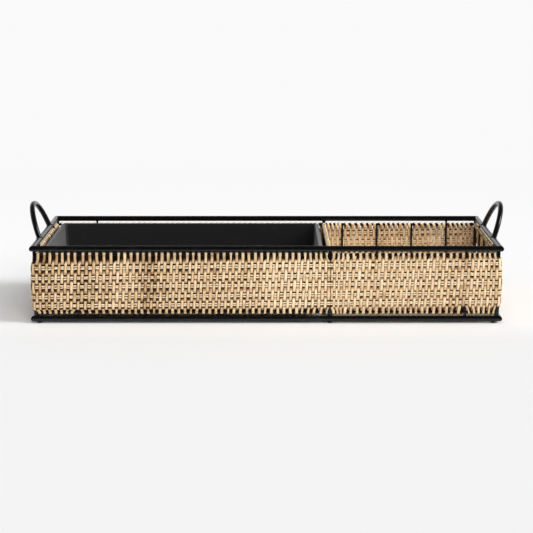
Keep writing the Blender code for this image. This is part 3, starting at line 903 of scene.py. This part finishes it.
def corner_strips(plan, cane, dice, bundle):
    """A short strip beside the diagonal of each corner, its ends tucked in past the first and last rows."""
    for end, sign in plan.corners():
        place = end - sign * CORNER_FILL
        heights, depths, painted_shades = row_points(plan, cane, place, -1)
        tucked = POST_RADIUS + cane.winding_thickness / 2 + CLEARANCE
        heights = [heights[0] + STRIP_ABOVE, *heights, heights[-1] - STRIP_BELOW]
        depths = [tucked, *depths, tucked]
        # The tucked-in ends are painted in shade
        painted_shades = np.array([(0.5, 0.5), *painted_shades, (0.5, 0.5)])
        path = np.stack([np.full(len(heights), place), heights, depths], axis=1)
        path, wide = plan.bent(path, (1, 0, 0))
        tone = (plan.tone(place) + dice.normal(0, STRIP_TONE) - plan.painted_shade(place) * painted_shades).T
        width = cane.winding_width * STRIP_WIDTH
        bundle.sweep(path, wide, FLAT_OVAL, width, cane.winding_thickness, dice.random(), *tone)


def band_path(plan, cane, number, side, middle, dice):
    """One cane of the pair in a row, out over one leg and in behind the next: its path, its run before the
    corners bend it, and the painted shade of its two sides."""
    swings = np.where(np.arange(len(middle)) % 2 == number % 2, 1, -1) * cane.band_wave
    for end, sign in plan.corners():
        at, outermost = (0, swings[0]) if sign < 0 else (len(middle), swings[-1])
        middle = np.insert(middle, at, end - sign * CORNER_FILL)
        swings = np.insert(swings, at, -outermost)
    rows = np.array([plan.rows(place)[number] for place in middle])
    tilt = (rows - (plan.upper + plan.lower) / 2) / (plan.rows(0)[0] - plan.rows(0)[-1])
    run = middle + np.array([plan.lean_at(place) for place in middle]) * tilt
    past = [CORNER_ARC if kind == "corner" else 0.0 for kind in plan.ends]
    start, end = plan.start - past[0], plan.end + past[1]
    all_run = np.zeros(2 * len(run) + 1)
    all_out = np.zeros(len(all_run))
    all_run[1::2] = run
    all_run[2:-1:2] = (run[:-1] + run[1:]) / 2
    all_run[0], all_run[-1] = start, end
    all_out[1::2] = swings
    offset = side * plan.band_gap / 2
    phase = dice.random(3) * 2 * math.pi
    fade = np.clip(np.minimum(all_run - start, end - all_run) / WOBBLE_RUN, 0, 1)
    wobble = sum(np.sin(all_run * wave + shift) * swing for (wave, swing), shift in zip(WAVES, phase))
    wobble = (wobble + dice.normal(0, plan.stray, len(all_run))) * fade
    heights = np.array([plan.rows(place)[number] for place in all_run]) + offset + wobble
    depths = np.array([plan.surface(height) for height in heights]) + all_out
    painted_shades = np.array([(all_out < 0) * BAND_PAINTED_SHADE, (all_out > 0) * BAND_PAINTED_SHADE * plan.inside])
    return plan.bent(np.stack([all_run, heights, depths], axis=1), (0, 1, 0))[0], all_run, painted_shades


def woven_panel(plan, cane, dice):
    """A panel's wound strand and the pairs of bands woven through its legs."""
    bundle = Bundle()
    middle = wound_strand(plan, cane, dice, bundle)
    corner_strips(plan, cane, dice, bundle)
    for number in range(len(plan.rows(0))):
        for side in (-1, 1):
            path, run, painted_shades = band_path(plan, cane, number, side, middle, dice)
            patchy = dice.normal(0, plan.patchy * BAND_PATCHY, len(run)) + dice.normal(0, BAND_TONE)
            # Bands are painted paler than the legs, and painted in shade where they pass behind a leg
            tone = np.array([plan.tone(place) for place in run]) + patchy + plan.band_painted_light
            tone = tone - np.array([plan.painted_shade(place) for place in run]) * painted_shades
            size = cane.band_width, cane.band_thickness
            bundle.sweep(path, (0, 1, 0), FLAT_OVAL, *size, dice.random(), *tone, edge=BAND_EDGE)
    return bundle.placed(plan.turn, plan.origin)


def corner_post(place):
    return Post(place, POST_RADIUS, True, CORNER_ROOM, CORNER_ROOM)


def upright_posts(places, tall):
    """Uprights at these places, of which the tall ones take more room below."""
    posts = []
    for place in places:
        below = TALL_ROOM_BELOW if place in tall else SHORT_ROOM_BELOW
        posts.append(Post(place, UPRIGHT_RADIUS, place in tall, SHORT_ROOM, below))
    return posts


def mirrored(posts, turns):
    """The same posts and turns seen from the other side, with as much room to a post's left and right."""
    return [post._replace(place=-post.place) for post in reversed(posts)], turns[::-1]


def wall_plans():
    """Each wall's plan by its name."""
    divider_post = Post(DIVIDER_X, POST_RADIUS, True, DIVIDER_ROOM, DIVIDER_ROOM)
    tub_bay = [corner_post(-SIDE_X), *upright_posts(TUB_BAY_UPRIGHTS, TUB_BAY_TALL), divider_post]
    open_bay = [divider_post, *upright_posts(OPEN_BAY_UPRIGHTS, OPEN_BAY_TALL), corner_post(SIDE_X)]
    side = [corner_post(-WALL_Y), *upright_posts(SIDE_UPRIGHTS, SIDE_TALL), corner_post(WALL_Y)]
    divider = [corner_post(-WALL_Y), *upright_posts(SIDE_UPRIGHTS, ()), corner_post(WALL_Y)]
    turned_tub_bay = mirrored(tub_bay, TUB_BAY_TURNS)
    turned_open_bay = mirrored(open_bay, OPEN_BAY_TURNS)
    plans = {
        "front_tub_bay": WallPlan(RIGHT, FRONT, WALL_Y, tub_bay, TUB_BAY_TURNS, ("corner", "seam")),
        "front_open_bay": WallPlan(RIGHT, FRONT, WALL_Y, open_bay, OPEN_BAY_TURNS, ("seam", "corner")),
        "back_tub_bay": WallPlan(LEFT, BACK, WALL_Y, *turned_tub_bay, ("seam", "corner")),
        "back_open_bay": WallPlan(LEFT, BACK, WALL_Y, *turned_open_bay, ("corner", "seam")),
        "left": WallPlan(FRONT, LEFT, SIDE_X, side, SIDE_TURNS, ("corner", "corner")),
        "right": WallPlan(BACK, RIGHT, SIDE_X, side, SIDE_TURNS, ("corner", "corner")),
        "divider": WallPlan(BACK, RIGHT, DIVIDER_X, divider, SIDE_TURNS, ("stop", "stop")),
    }
    plans["divider"].start += DIVIDER_END
    plans["divider"].end -= DIVIDER_END
    # The divider's inner legs get less painted shade
    plans["divider"].inner_painted_shade = 0.3

    # What is seen of the back walls is their inside, which is closer and more even and has less painted
    # shade
    for name in ("back_tub_bay", "back_open_bay"):
        plans[name].fill = 1.04
        plans[name].stray = 0.0001
        plans[name].inside = 0.4
    return plans


class STATION_OT_cane_walls(Operator):
    """Wind and weave the cane of the seven walls"""

    bl_idname = "station.cane_walls"
    bl_label = "Cane walls"

    def execute(self, context):
        cane = context.scene.station_cane
        for number, (name, plan) in enumerate(wall_plans().items()):
            dice = np.random.RandomState(cane.seed * 100 + number)
            woven_panel(plan, cane, dice).piece(f"{name}_cane", "natural_cane", f"{name}_weave")
        return {"FINISHED"}


class STATION_OT_cane_floors(Operator):
    """Weave the two cane floor panels"""

    bl_idname = "station.cane_floors"
    bl_label = "Cane floors"

    def execute(self, context):
        cane = context.scene.station_cane
        for number, name in enumerate(("tub_bay_floor", "open_bay_floor")):
            dice = np.random.RandomState(cane.seed * 100 + 50 + number)
            woven_panel(FloorPlan(name, cane), cane, dice).piece(f"{name}_cane", "natural_cane", name)
        return {"FINISHED"}


def rod(start, end, radius, sides=24, outward=None):
    """A straight round rod. Where outward is given, its ends are mitred with that side the longest."""
    bundle = Bundle()
    start, end = np.array(start, float), np.array(end, float)
    along = (end - start) / np.linalg.norm(end - start)
    wide = np.array(outward if outward is not None else (UP if abs(along[2]) < 0.9 else RIGHT), float)
    bundle.sweep([start, end], wide, circle(sides), 2 * radius, 2 * radius)
    points = bundle.points[0]
    if outward is not None:
        for ring, origin, sign in ((slice(0, sides), start, -1), (slice(sides, None), end, 1)):
            away = (points[ring] - origin) @ wide
            points[ring] += np.outer(away * sign, along)
    return bundle


# Thickness of the beads round uprights and floor bars and round handles, as a share of the posts', and
# where beads lie: a share of a rail's radius from its centre, and along a handle from its end
THIN_BEAD = 0.8
HANDLE_BEAD = 1.3
AT_RAIL = 0.84
ALONG_HANDLE = 0.0055


def bead(centre, axis, radius, size, dice, steps=18):
    """A lumpy ring of weld round a rod of this radius."""
    bundle = Bundle()
    axis = Vector(axis).normalized()
    across = axis.orthogonal().normalized()
    other = axis.cross(across)
    phase = dice.random() * 6.28
    path, thick = [], []
    for step in range(steps + 1):
        angle = 2 * math.pi * step / steps
        lump = 1 + 0.18 * math.sin(angle * 5 + phase) + 0.1 * math.sin(angle * 9 + 2 * phase)
        reach = radius + size * 0.25 * lump
        point = Vector(centre) + across * math.cos(angle) * reach + other * math.sin(angle) * reach
        path.append(point)
        thick.append(2 * size * lump)
    thick[-1] = thick[0]
    bundle.sweep(path, axis, circle(8), np.array(thick), np.array(thick))
    return bundle


class STATION_OT_rails(Operator):
    """Make the rim ring and the base ring of round rod"""

    bl_idname = "station.rails"
    bl_label = "Rails"

    def execute(self, context):
        for ring, height in (("rim", RIM_Z), ("base", BASE_Z)):
            for side, outward, along, distance, reach in (
                ("front", FRONT, LEFT, RAIL_Y, RAIL_X),
                ("back", BACK, RIGHT, RAIL_Y, RAIL_X),
                ("left", LEFT, BACK, RAIL_X, RAIL_Y),
                ("right", RIGHT, FRONT, RAIL_X, RAIL_Y),
            ):
                centre = outward * distance + UP * height
                made = rod(centre - along * reach, centre + along * reach, RAIL_RADIUS, 32, outward)
                made.piece(f"{ring}_{side}_rod", "black_iron", f"{ring}_{side}_rail", sharp=SHARP)
        return {"FINISHED"}


class STATION_OT_posts(Operator):
    """Make the corner and divider posts, sunk into the rails they are welded to"""

    bl_idname = "station.posts"
    bl_label = "Posts"

    def execute(self, context):
        for side, y in (("front", -WALL_Y), ("back", WALL_Y)):
            for place, x in (("left_corner", -SIDE_X), ("right_corner", SIDE_X), ("divider", DIVIDER_X)):
                made = rod((x, y, BASE_Z + POST_END), (x, y, RIM_Z - POST_END), POST_RADIUS, 20)
                made.piece(f"{side}_{place}_post_rod", "black_iron", f"{side}_{place}_post", sharp=SHARP)
        return {"FINISHED"}


class STATION_OT_grids(Operator):
    """Make the thin rods and uprights that the cane is wound on"""

    bl_idname = "station.grids"
    bl_label = "Grids"

    def grid(self, name, origin, along, start, end, places, tall):
        """One grid from post to post, with uprights of which the tall ones run on to the rails."""
        made = Bundle()
        for height in (UPPER_Z, LOWER_Z):
            first, last = origin + along * (start + THIN_END), origin + along * (end - THIN_END)
            made.join(rod(first + UP * height, last + UP * height, THIN_RADIUS, 16))
        for place in places:
            foot = origin + along * place
            low, high = (BASE_Z + POST_END, RIM_Z - POST_END) if place in tall else (LOWER_Z, UPPER_Z)
            made.join(rod(foot + UP * low, foot + UP * high, UPRIGHT_RADIUS, 12))
        made.piece(f"{name}_rods", "black_iron", name, sharp=SHARP)

    def execute(self, context):
        for side, out in (("front", FRONT), ("back", BACK)):
            for bay, start, end, places, tall in (
                ("tub_bay", -SIDE_X, DIVIDER_X, TUB_BAY_UPRIGHTS, TUB_BAY_TALL),
                ("open_bay", DIVIDER_X, SIDE_X, OPEN_BAY_UPRIGHTS, OPEN_BAY_TALL),
            ):
                self.grid(f"{side}_{bay}_grid", out * WALL_Y, RIGHT, start, end, places, tall)
        for name, x, tall in (
            ("left", -SIDE_X, SIDE_TALL),
            ("right", SIDE_X, SIDE_TALL),
            ("divider", DIVIDER_X, ()),
        ):
            self.grid(f"{name}_grid", RIGHT * x, BACK, -WALL_Y, WALL_Y, SIDE_UPRIGHTS, tall)
        return {"FINISHED"}


def handle_points(side, sink=0.003, steps=56):
    """Points along a handle's half ring, from one end on the side rail to the other."""
    start = math.asin((HANDLE_DROP - sink) / HANDLE_RADIUS)
    lean = Matrix.Rotation(side * HANDLE_LEAN, 3, "Y")
    points = []
    for step in range(steps + 1):
        angle = start + (math.pi - 2 * start) * step / steps
        rise = HANDLE_RADIUS * math.sin(angle) - HANDLE_DROP
        point = lean @ Vector((0, HANDLE_RADIUS * math.cos(angle), rise))
        points.append(point + Vector((side * RAIL_X, 0, RIM_Z)))
    return points


class STATION_OT_handles(Operator):
    """Make the two leaning loop handles"""

    bl_idname = "station.handles"
    bl_label = "Handles"

    def execute(self, context):
        for name, side in (("left", -1), ("right", 1)):
            made = Bundle()
            lean = Matrix.Rotation(side * HANDLE_LEAN, 3, "Y") @ RIGHT
            made.sweep(handle_points(side), lean, circle(24), 2 * HANDLE_ROD, 2 * HANDLE_ROD)
            made.piece(f"{name}_handle_loop", "black_iron", f"{name}_handle", sharp=SHARP)
        return {"FINISHED"}


def middle_x(node):
    low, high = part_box(node)
    return (low.x + high.x) / 2


class STATION_OT_floor_bars(Operator):
    """Make the bars across the base that carry the floor"""

    bl_idname = "station.floor_bars"
    bl_label = "Floor bars"

    def execute(self, context):
        reach = RAIL_Y - BAR_END
        for name in nodes_with("_floor_bar"):
            x = middle_x(name)
            made = rod((x, -reach, BAR_Z), (x, reach, BAR_Z), BAR_RADIUS, 18)
            made.piece(f"{name}_rod", "black_iron", name, sharp=SHARP)
        return {"FINISHED"}


class STATION_OT_welds(Operator):
    """Lay the weld beads where rods meet"""

    bl_idname = "station.welds"
    bl_label = "Weld beads"

    def execute(self, context):
        size = context.scene.station_iron.bead
        dice = np.random.RandomState(31)
        made = Bundle()
        feet = []
        for y in (-WALL_Y, WALL_Y):
            feet += [(x, y, POST_RADIUS, size) for x in (-SIDE_X, SIDE_X, DIVIDER_X)]
            feet += [(x, y, UPRIGHT_RADIUS, size * THIN_BEAD) for x in TUB_BAY_TALL + OPEN_BAY_TALL]
        feet += [(x, y, UPRIGHT_RADIUS, size * THIN_BEAD) for x in (-SIDE_X, SIDE_X) for y in SIDE_TALL]
        for x, y, radius, thickness in feet:
            for height in (RIM_Z - RAIL_RADIUS * AT_RAIL, BASE_Z + RAIL_RADIUS * AT_RAIL):
                made.join(bead((x, y, height), UP, radius, thickness, dice))
        for side in (-1, 1):
            points = handle_points(side)
            for end, after in ((points[0], points[1]), (points[-1], points[-2])):
                axis = (after - end).normalized()
                made.join(bead(end + axis * ALONG_HANDLE, axis, HANDLE_ROD, size * HANDLE_BEAD, dice, 24))
        for name in nodes_with("_floor_bar"):
            for y in (-RAIL_Y + RAIL_RADIUS, RAIL_Y - RAIL_RADIUS):
                made.join(bead((middle_x(name), y, BAR_Z), BACK, BAR_RADIUS, size * THIN_BEAD, dice))
        made.piece("weld_beads", "black_iron")
        return {"FINISHED"}


def rounded_ring(half_x, half_y, radius, height, corner_steps=8):
    """Points of a rectangle with rounded corners, at this height."""
    points = []
    for quarter, (sign_x, sign_y) in enumerate(((1, 1), (-1, 1), (-1, -1), (1, -1))):
        for step in range(corner_steps + 1):
            angle = math.pi / 2 * (quarter + step / corner_steps)
            x = sign_x * (half_x - radius) + radius * math.cos(angle)
            y = sign_y * (half_y - radius) + radius * math.sin(angle)
            points.append((x, y, height))
    return points


def quarter_turn(steps):
    """How far the points of a quarter turn lie from its far side and from its near side, as shares."""
    angles = [math.pi / 2 * step / steps for step in range(steps + 1)]
    return [(1 - math.sin(angle), 1 - math.cos(angle)) for angle in angles]


# The tub: its flange, the taper of its sides, its folds' radius, the share of it on the inside, the corner
# radius there, the drop of its hem, its rim's radii inside and outside, and the corner radius and spread of
# the rings in its floor
FLANGE = 0.005
TAPER = 0.004
FOLD = 0.007
INSIDE_FOLD = 0.86
FOLD_CORNER = FOLD + 0.001
HEM = 0.003
INNER_RIM = 0.0016
OUTER_RIM = 0.0012
FLOOR_CORNER = 0.012
FLOOR_SPREAD = 0.11


def tub_profile(sheet, top, bottom):
    """Each ring of the tub: its inset from the tub's box, its corner radius and its height, from the middle
    of the floor up the inside, over the rim and down the outside to the middle of the underside."""
    floor = bottom + sheet
    side = FOLD + FLANGE

    def wall(height, inward):
        share = (top - height) / (top - bottom)
        return FLANGE + TAPER * share + inward

    profile = []
    for share in (0.0, 0.35, 0.7, 0.9):
        inset = FLANGE + TAPER + FOLD + sheet + (FLOOR_SPREAD - FLOOR_SPREAD * share)
        profile.append((inset, FLOOR_CORNER, floor))
    for across, rise in quarter_turn(6):
        inset = wall(bottom, sheet) + FOLD * across * INSIDE_FOLD
        profile.append((inset, FOLD_CORNER, floor + FOLD * rise * INSIDE_FOLD))
    for share in (0.3, 0.6, 0.85):
        height = floor + FOLD + (top - floor - FOLD) * share
        profile.append((wall(height, sheet), FOLD, height))
    for across, rise in quarter_turn(4):
        inset = FLANGE + sheet - INNER_RIM * rise + 0.0004
        profile.append((inset, FOLD + INNER_RIM * rise, top - INNER_RIM * across))
    for across, rise in quarter_turn(5):
        inset = OUTER_RIM * across
        profile.append((inset, side - inset, top - OUTER_RIM * rise))
    profile += [
        (0.0, side, top - HEM),
        (sheet * 0.5, side - 0.0006, top - HEM - sheet * 0.5),
        (sheet, side - sheet, top - HEM),
        (sheet, side - sheet, top - sheet * 1.6),
        (sheet + 0.0005, side - sheet - 0.0005, top - sheet),
        (FLANGE - 0.0004, FOLD + 0.0004, top - sheet),
        (FLANGE, FOLD, top - sheet - 0.0006),
    ]
    for share in (0.15, 0.4, 0.7):
        height = top + (bottom + FOLD - top) * share
        profile.append((wall(height, 0), FOLD, height))
    for across, rise in reversed(quarter_turn(6)):
        profile.append((wall(bottom, 0) + FOLD * across, FOLD_CORNER, bottom + FOLD * rise))
    for spread_in in (0.03, FLOOR_SPREAD):
        profile.append((FLANGE + TAPER + FOLD + spread_in, FLOOR_CORNER, bottom))
    return profile


class STATION_OT_tub(Operator):
    """Form the lift-out tub of thin sheet with a folded rim"""

    bl_idname = "station.tub"
    bl_label = "Lift-out tub"

    def execute(self, context):
        low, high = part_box("lift_out_tub")
        middle = Vector((middle_x("lift_out_tub"), (low.y + high.y) / 2, 0))
        half_x, half_y = (high.x - low.x) / 2, (high.y - low.y) / 2
        shape = bmesh.new()
        rings = []
        for inset, radius, height in tub_profile(context.scene.station_tub.sheet, high.z, low.z):
            points = rounded_ring(half_x - inset, half_y - inset, radius, height)
            rings.append([shape.verts.new(Vector(point) + middle) for point in points])
        for ring, after in zip(rings, rings[1:]):
            for side in range(len(ring)):
                follow = (side + 1) % len(ring)
                shape.faces.new((ring[side], ring[follow], after[follow], after[side]))
        shape.faces.new(rings[0][::-1])
        shape.faces.new(rings[-1])
        bmesh.ops.recalc_face_normals(shape, faces=shape.faces)
        mesh = mesh_of("tub_of_sheet_metal", shape)
        mesh.shade_smooth()
        mesh.set_sharp_from_angle(angle=math.radians(60))
        add_dressed("tub_of_sheet_metal", mesh, "tub", "tub_metal", "lift_out_tub")
        return {"FINISHED"}


# Heights and radii of a pad's rings, as shares of its own
PAD_RINGS = ((0.0, 0.86), (0.08, 0.95), (0.25, 1.0), (0.7, 1.0), (0.9, 0.96), (1.25, 0.8))


class STATION_OT_feet(Operator):
    """Turn the six rubber pads"""

    bl_idname = "station.feet"
    bl_label = "Feet"

    def execute(self, context):
        for name in nodes_with("_foot"):
            low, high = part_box(name)
            middle = (low + high) / 2
            path = [(middle.x, middle.y, low.z + (high.z - low.z) * share) for share, _ in PAD_RINGS]
            size = np.array([(high.x - low.x) * share for _, share in PAD_RINGS])
            made = Bundle()
            made.sweep(path, RIGHT, circle(24), size, size)
            made.piece(f"{name}_pad", "foot_rubber", name, sharp=math.radians(50))
        return {"FINISHED"}


# Where the room is brightest: in front of the station, to the right and above
FILL_FROM = Vector((0.45, -0.75, 0.48)).normalized()
BRIGHTEST = 1.40
DIMMEST = 0.55

# What glossy rods see by the height they look to: a white backdrop, then a dark ceiling
CEILING = ((0.0, 1.0), (0.30, 1.0), (0.62, 0.09), (1.0, 0.04))
DARK_ROOM = 0.03


def world_light(stage):
    """Light from all round, strongest from in front, that falls away towards the horizon. Glossy rods see
    a white backdrop behind and at the sides, a darker ceiling and a dark room in front, and the camera
    sees white."""
    world = bpy.data.worlds.new("studio")
    bpy.context.scene.world = world
    world.use_nodes = True
    recipe = Recipe(world.node_tree)
    direction = recipe.add("ShaderNodeTexCoord", {}, {}, "Generated")
    _, back, height = recipe.split(direction)
    mirrored_room = recipe.ramp(height, [(place, grey(value)) for place, value in CEILING])
    mirrored_room = recipe.blend((-0.1 - back * 3.0).clamped(), mirrored_room, grey(DARK_ROOM))
    dot = {"operation": "DOT_PRODUCT"}
    towards = recipe.add("ShaderNodeVectorMath", dot, {0: direction, 1: FILL_FROM}, "Value")
    dim, bright = grey(stage.sky * DIMMEST), grey(stage.sky * BRIGHTEST)
    fill = recipe.blend((towards * 0.5 + 0.5).clamped() ** 2, dim, bright)
    fill = recipe.blend((height * 3.5).clamped(), grey(0), fill)
    colour = recipe.blend(recipe.ray("Glossy"), fill, mirrored_room)
    seen = (recipe.ray("Camera") + recipe.ray("Transmission")).clamped()
    colour = recipe.blend(seen, colour, grey(1))
    light = recipe.add("ShaderNodeBackground", {}, {"Color": colour, "Strength": 1.0})
    recipe.add("ShaderNodeOutputWorld", {}, {"Surface": light})


def floor_finish(recipe):
    """Pale matte floor that keeps the station's shadow, has painted shade that makes it darker nearer the
    camera, and fades to the white background round it. Glossy rods see it dark in front."""
    colour = bpy.context.scene.station_stage.floor
    place = recipe.place()
    grain = recipe.noise(place, 300.0, 2.0, 0.5)
    x, y, _ = recipe.split(place)
    # Painted shade: the floor's colour is darker nearer the camera
    nearer = ((-0.16 - y) * 8.0).clamped()
    shade = recipe.blend(nearer, rgba(colour), rgba(colour, 0.91))
    shade = recipe.blend(grain * 0.3, shade, rgba(colour, 0.98))
    matte = recipe.add("ShaderNodeBsdfPrincipled", {}, {"Base Color": shade, "Roughness": 0.9})
    away = ((x * x + y * y) ** 0.5 - 0.9) / 0.9
    white = recipe.ramp((y + 2.0) * 0.25, [(0.0, grey(0.88)), (1.0, grey(0.95))])
    seen = recipe.mix_shaders(away.clamped() * recipe.ray("Camera"), matte, recipe.glow(white))
    in_front = ((-0.27 - y) * 5.0).clamped()
    return recipe.mix_shaders(in_front * recipe.ray("Glossy"), seen, recipe.glow(grey(DARK_ROOM)))


# Each lamp's name, its spread in degrees and where it stands
LAMPS = (("key", 25, (1.0, -0.18, 0.72)), ("front", 30, (0.3, -0.9, 0.5)))

# The picture's width, its lens and the horizon's height over its middle, in pixels, then the camera's place
# in metres and its sensor's width in millimetres
PICTURE = 533
LENS = 1570
HORIZON = 309.5
CAMERA = (0, -2.8273, 0.6258)
SENSOR = 36


class STATION_OT_stage(Operator):
    """Lay the floor, light the studio and set up the camera"""

    bl_idname = "station.stage"
    bl_label = "Stage"

    def execute(self, context):
        scene = context.scene
        stage = scene.station_stage
        shape = bmesh.new()
        bmesh.ops.create_circle(shape, cap_ends=True, segments=64, radius=45)
        mesh = mesh_of("studio_floor", shape)
        floor = add_piece("studio_floor", mesh, finish_named("pale_floor", floor_finish))
        world_light(stage)

        for name, spread_degrees, stands in LAMPS:
            light = bpy.data.lights.new(name, "SUN")
            light.energy = getattr(stage, name)
            light.angle = math.radians(spread_degrees)
            lamp = bpy.data.objects.new(name, light)
            lamp.rotation_euler = Vector(stands).to_track_quat("Z", "Y").to_euler()
            lamp.visible_glossy = name == "key"
            scene.collection.objects.link(lamp)

        lens = bpy.data.cameras.new("camera")
        lens.sensor_width = SENSOR
        lens.lens = LENS / PICTURE * SENSOR
        camera = bpy.data.objects.new("camera", lens)
        camera.location = CAMERA
        camera.rotation_euler = (math.pi / 2 - math.atan(HORIZON / LENS), 0, 0)
        scene.collection.objects.link(camera)
        scene.camera = camera
        scene.view_settings.view_transform = "Standard"
        return {"FINISHED"}


STEPS = (
    STATION_OT_stage,
    STATION_OT_rails,
    STATION_OT_posts,
    STATION_OT_grids,
    STATION_OT_handles,
    STATION_OT_floor_bars,
    STATION_OT_welds,
    STATION_OT_cane_walls,
    STATION_OT_cane_floors,
    STATION_OT_tub,
    STATION_OT_feet,
)
SETTINGS = {
    "station_cane": StationCane,
    "station_iron": StationIron,
    "station_tub": StationTub,
    "station_stage": StationStage,
}


class STATION_PT_panel(Panel):
    """Lists the station's settings and its pieces"""

    bl_idname = "STATION_PT_panel"
    bl_label = "Drink station"
    bl_space_type = "VIEW_3D"
    bl_region_type = "UI"
    bl_category = "Drink station"

    def draw(self, context):
        for name, kind in SETTINGS.items():
            box = self.layout.box()
            for setting in kind.__annotations__:
                box.prop(getattr(context.scene, name), setting)
        for step in STEPS:
            self.layout.operator(step.bl_idname)


def register():
    for kind in (*SETTINGS.values(), *STEPS, STATION_PT_panel):
        bpy.utils.register_class(kind)
    for name, kind in SETTINGS.items():
        setattr(bpy.types.Scene, name, PointerProperty(type=kind))


def unregister():
    for name in SETTINGS:
        delattr(bpy.types.Scene, name)
    for kind in (STATION_PT_panel, *STEPS[::-1], *SETTINGS.values()):
        bpy.utils.unregister_class(kind)


def main():
    register()
    for step in STEPS:
        group, name = step.bl_idname.split(".")
        getattr(getattr(bpy.ops, group), name)()


if __name__ == "__main__":
    main()
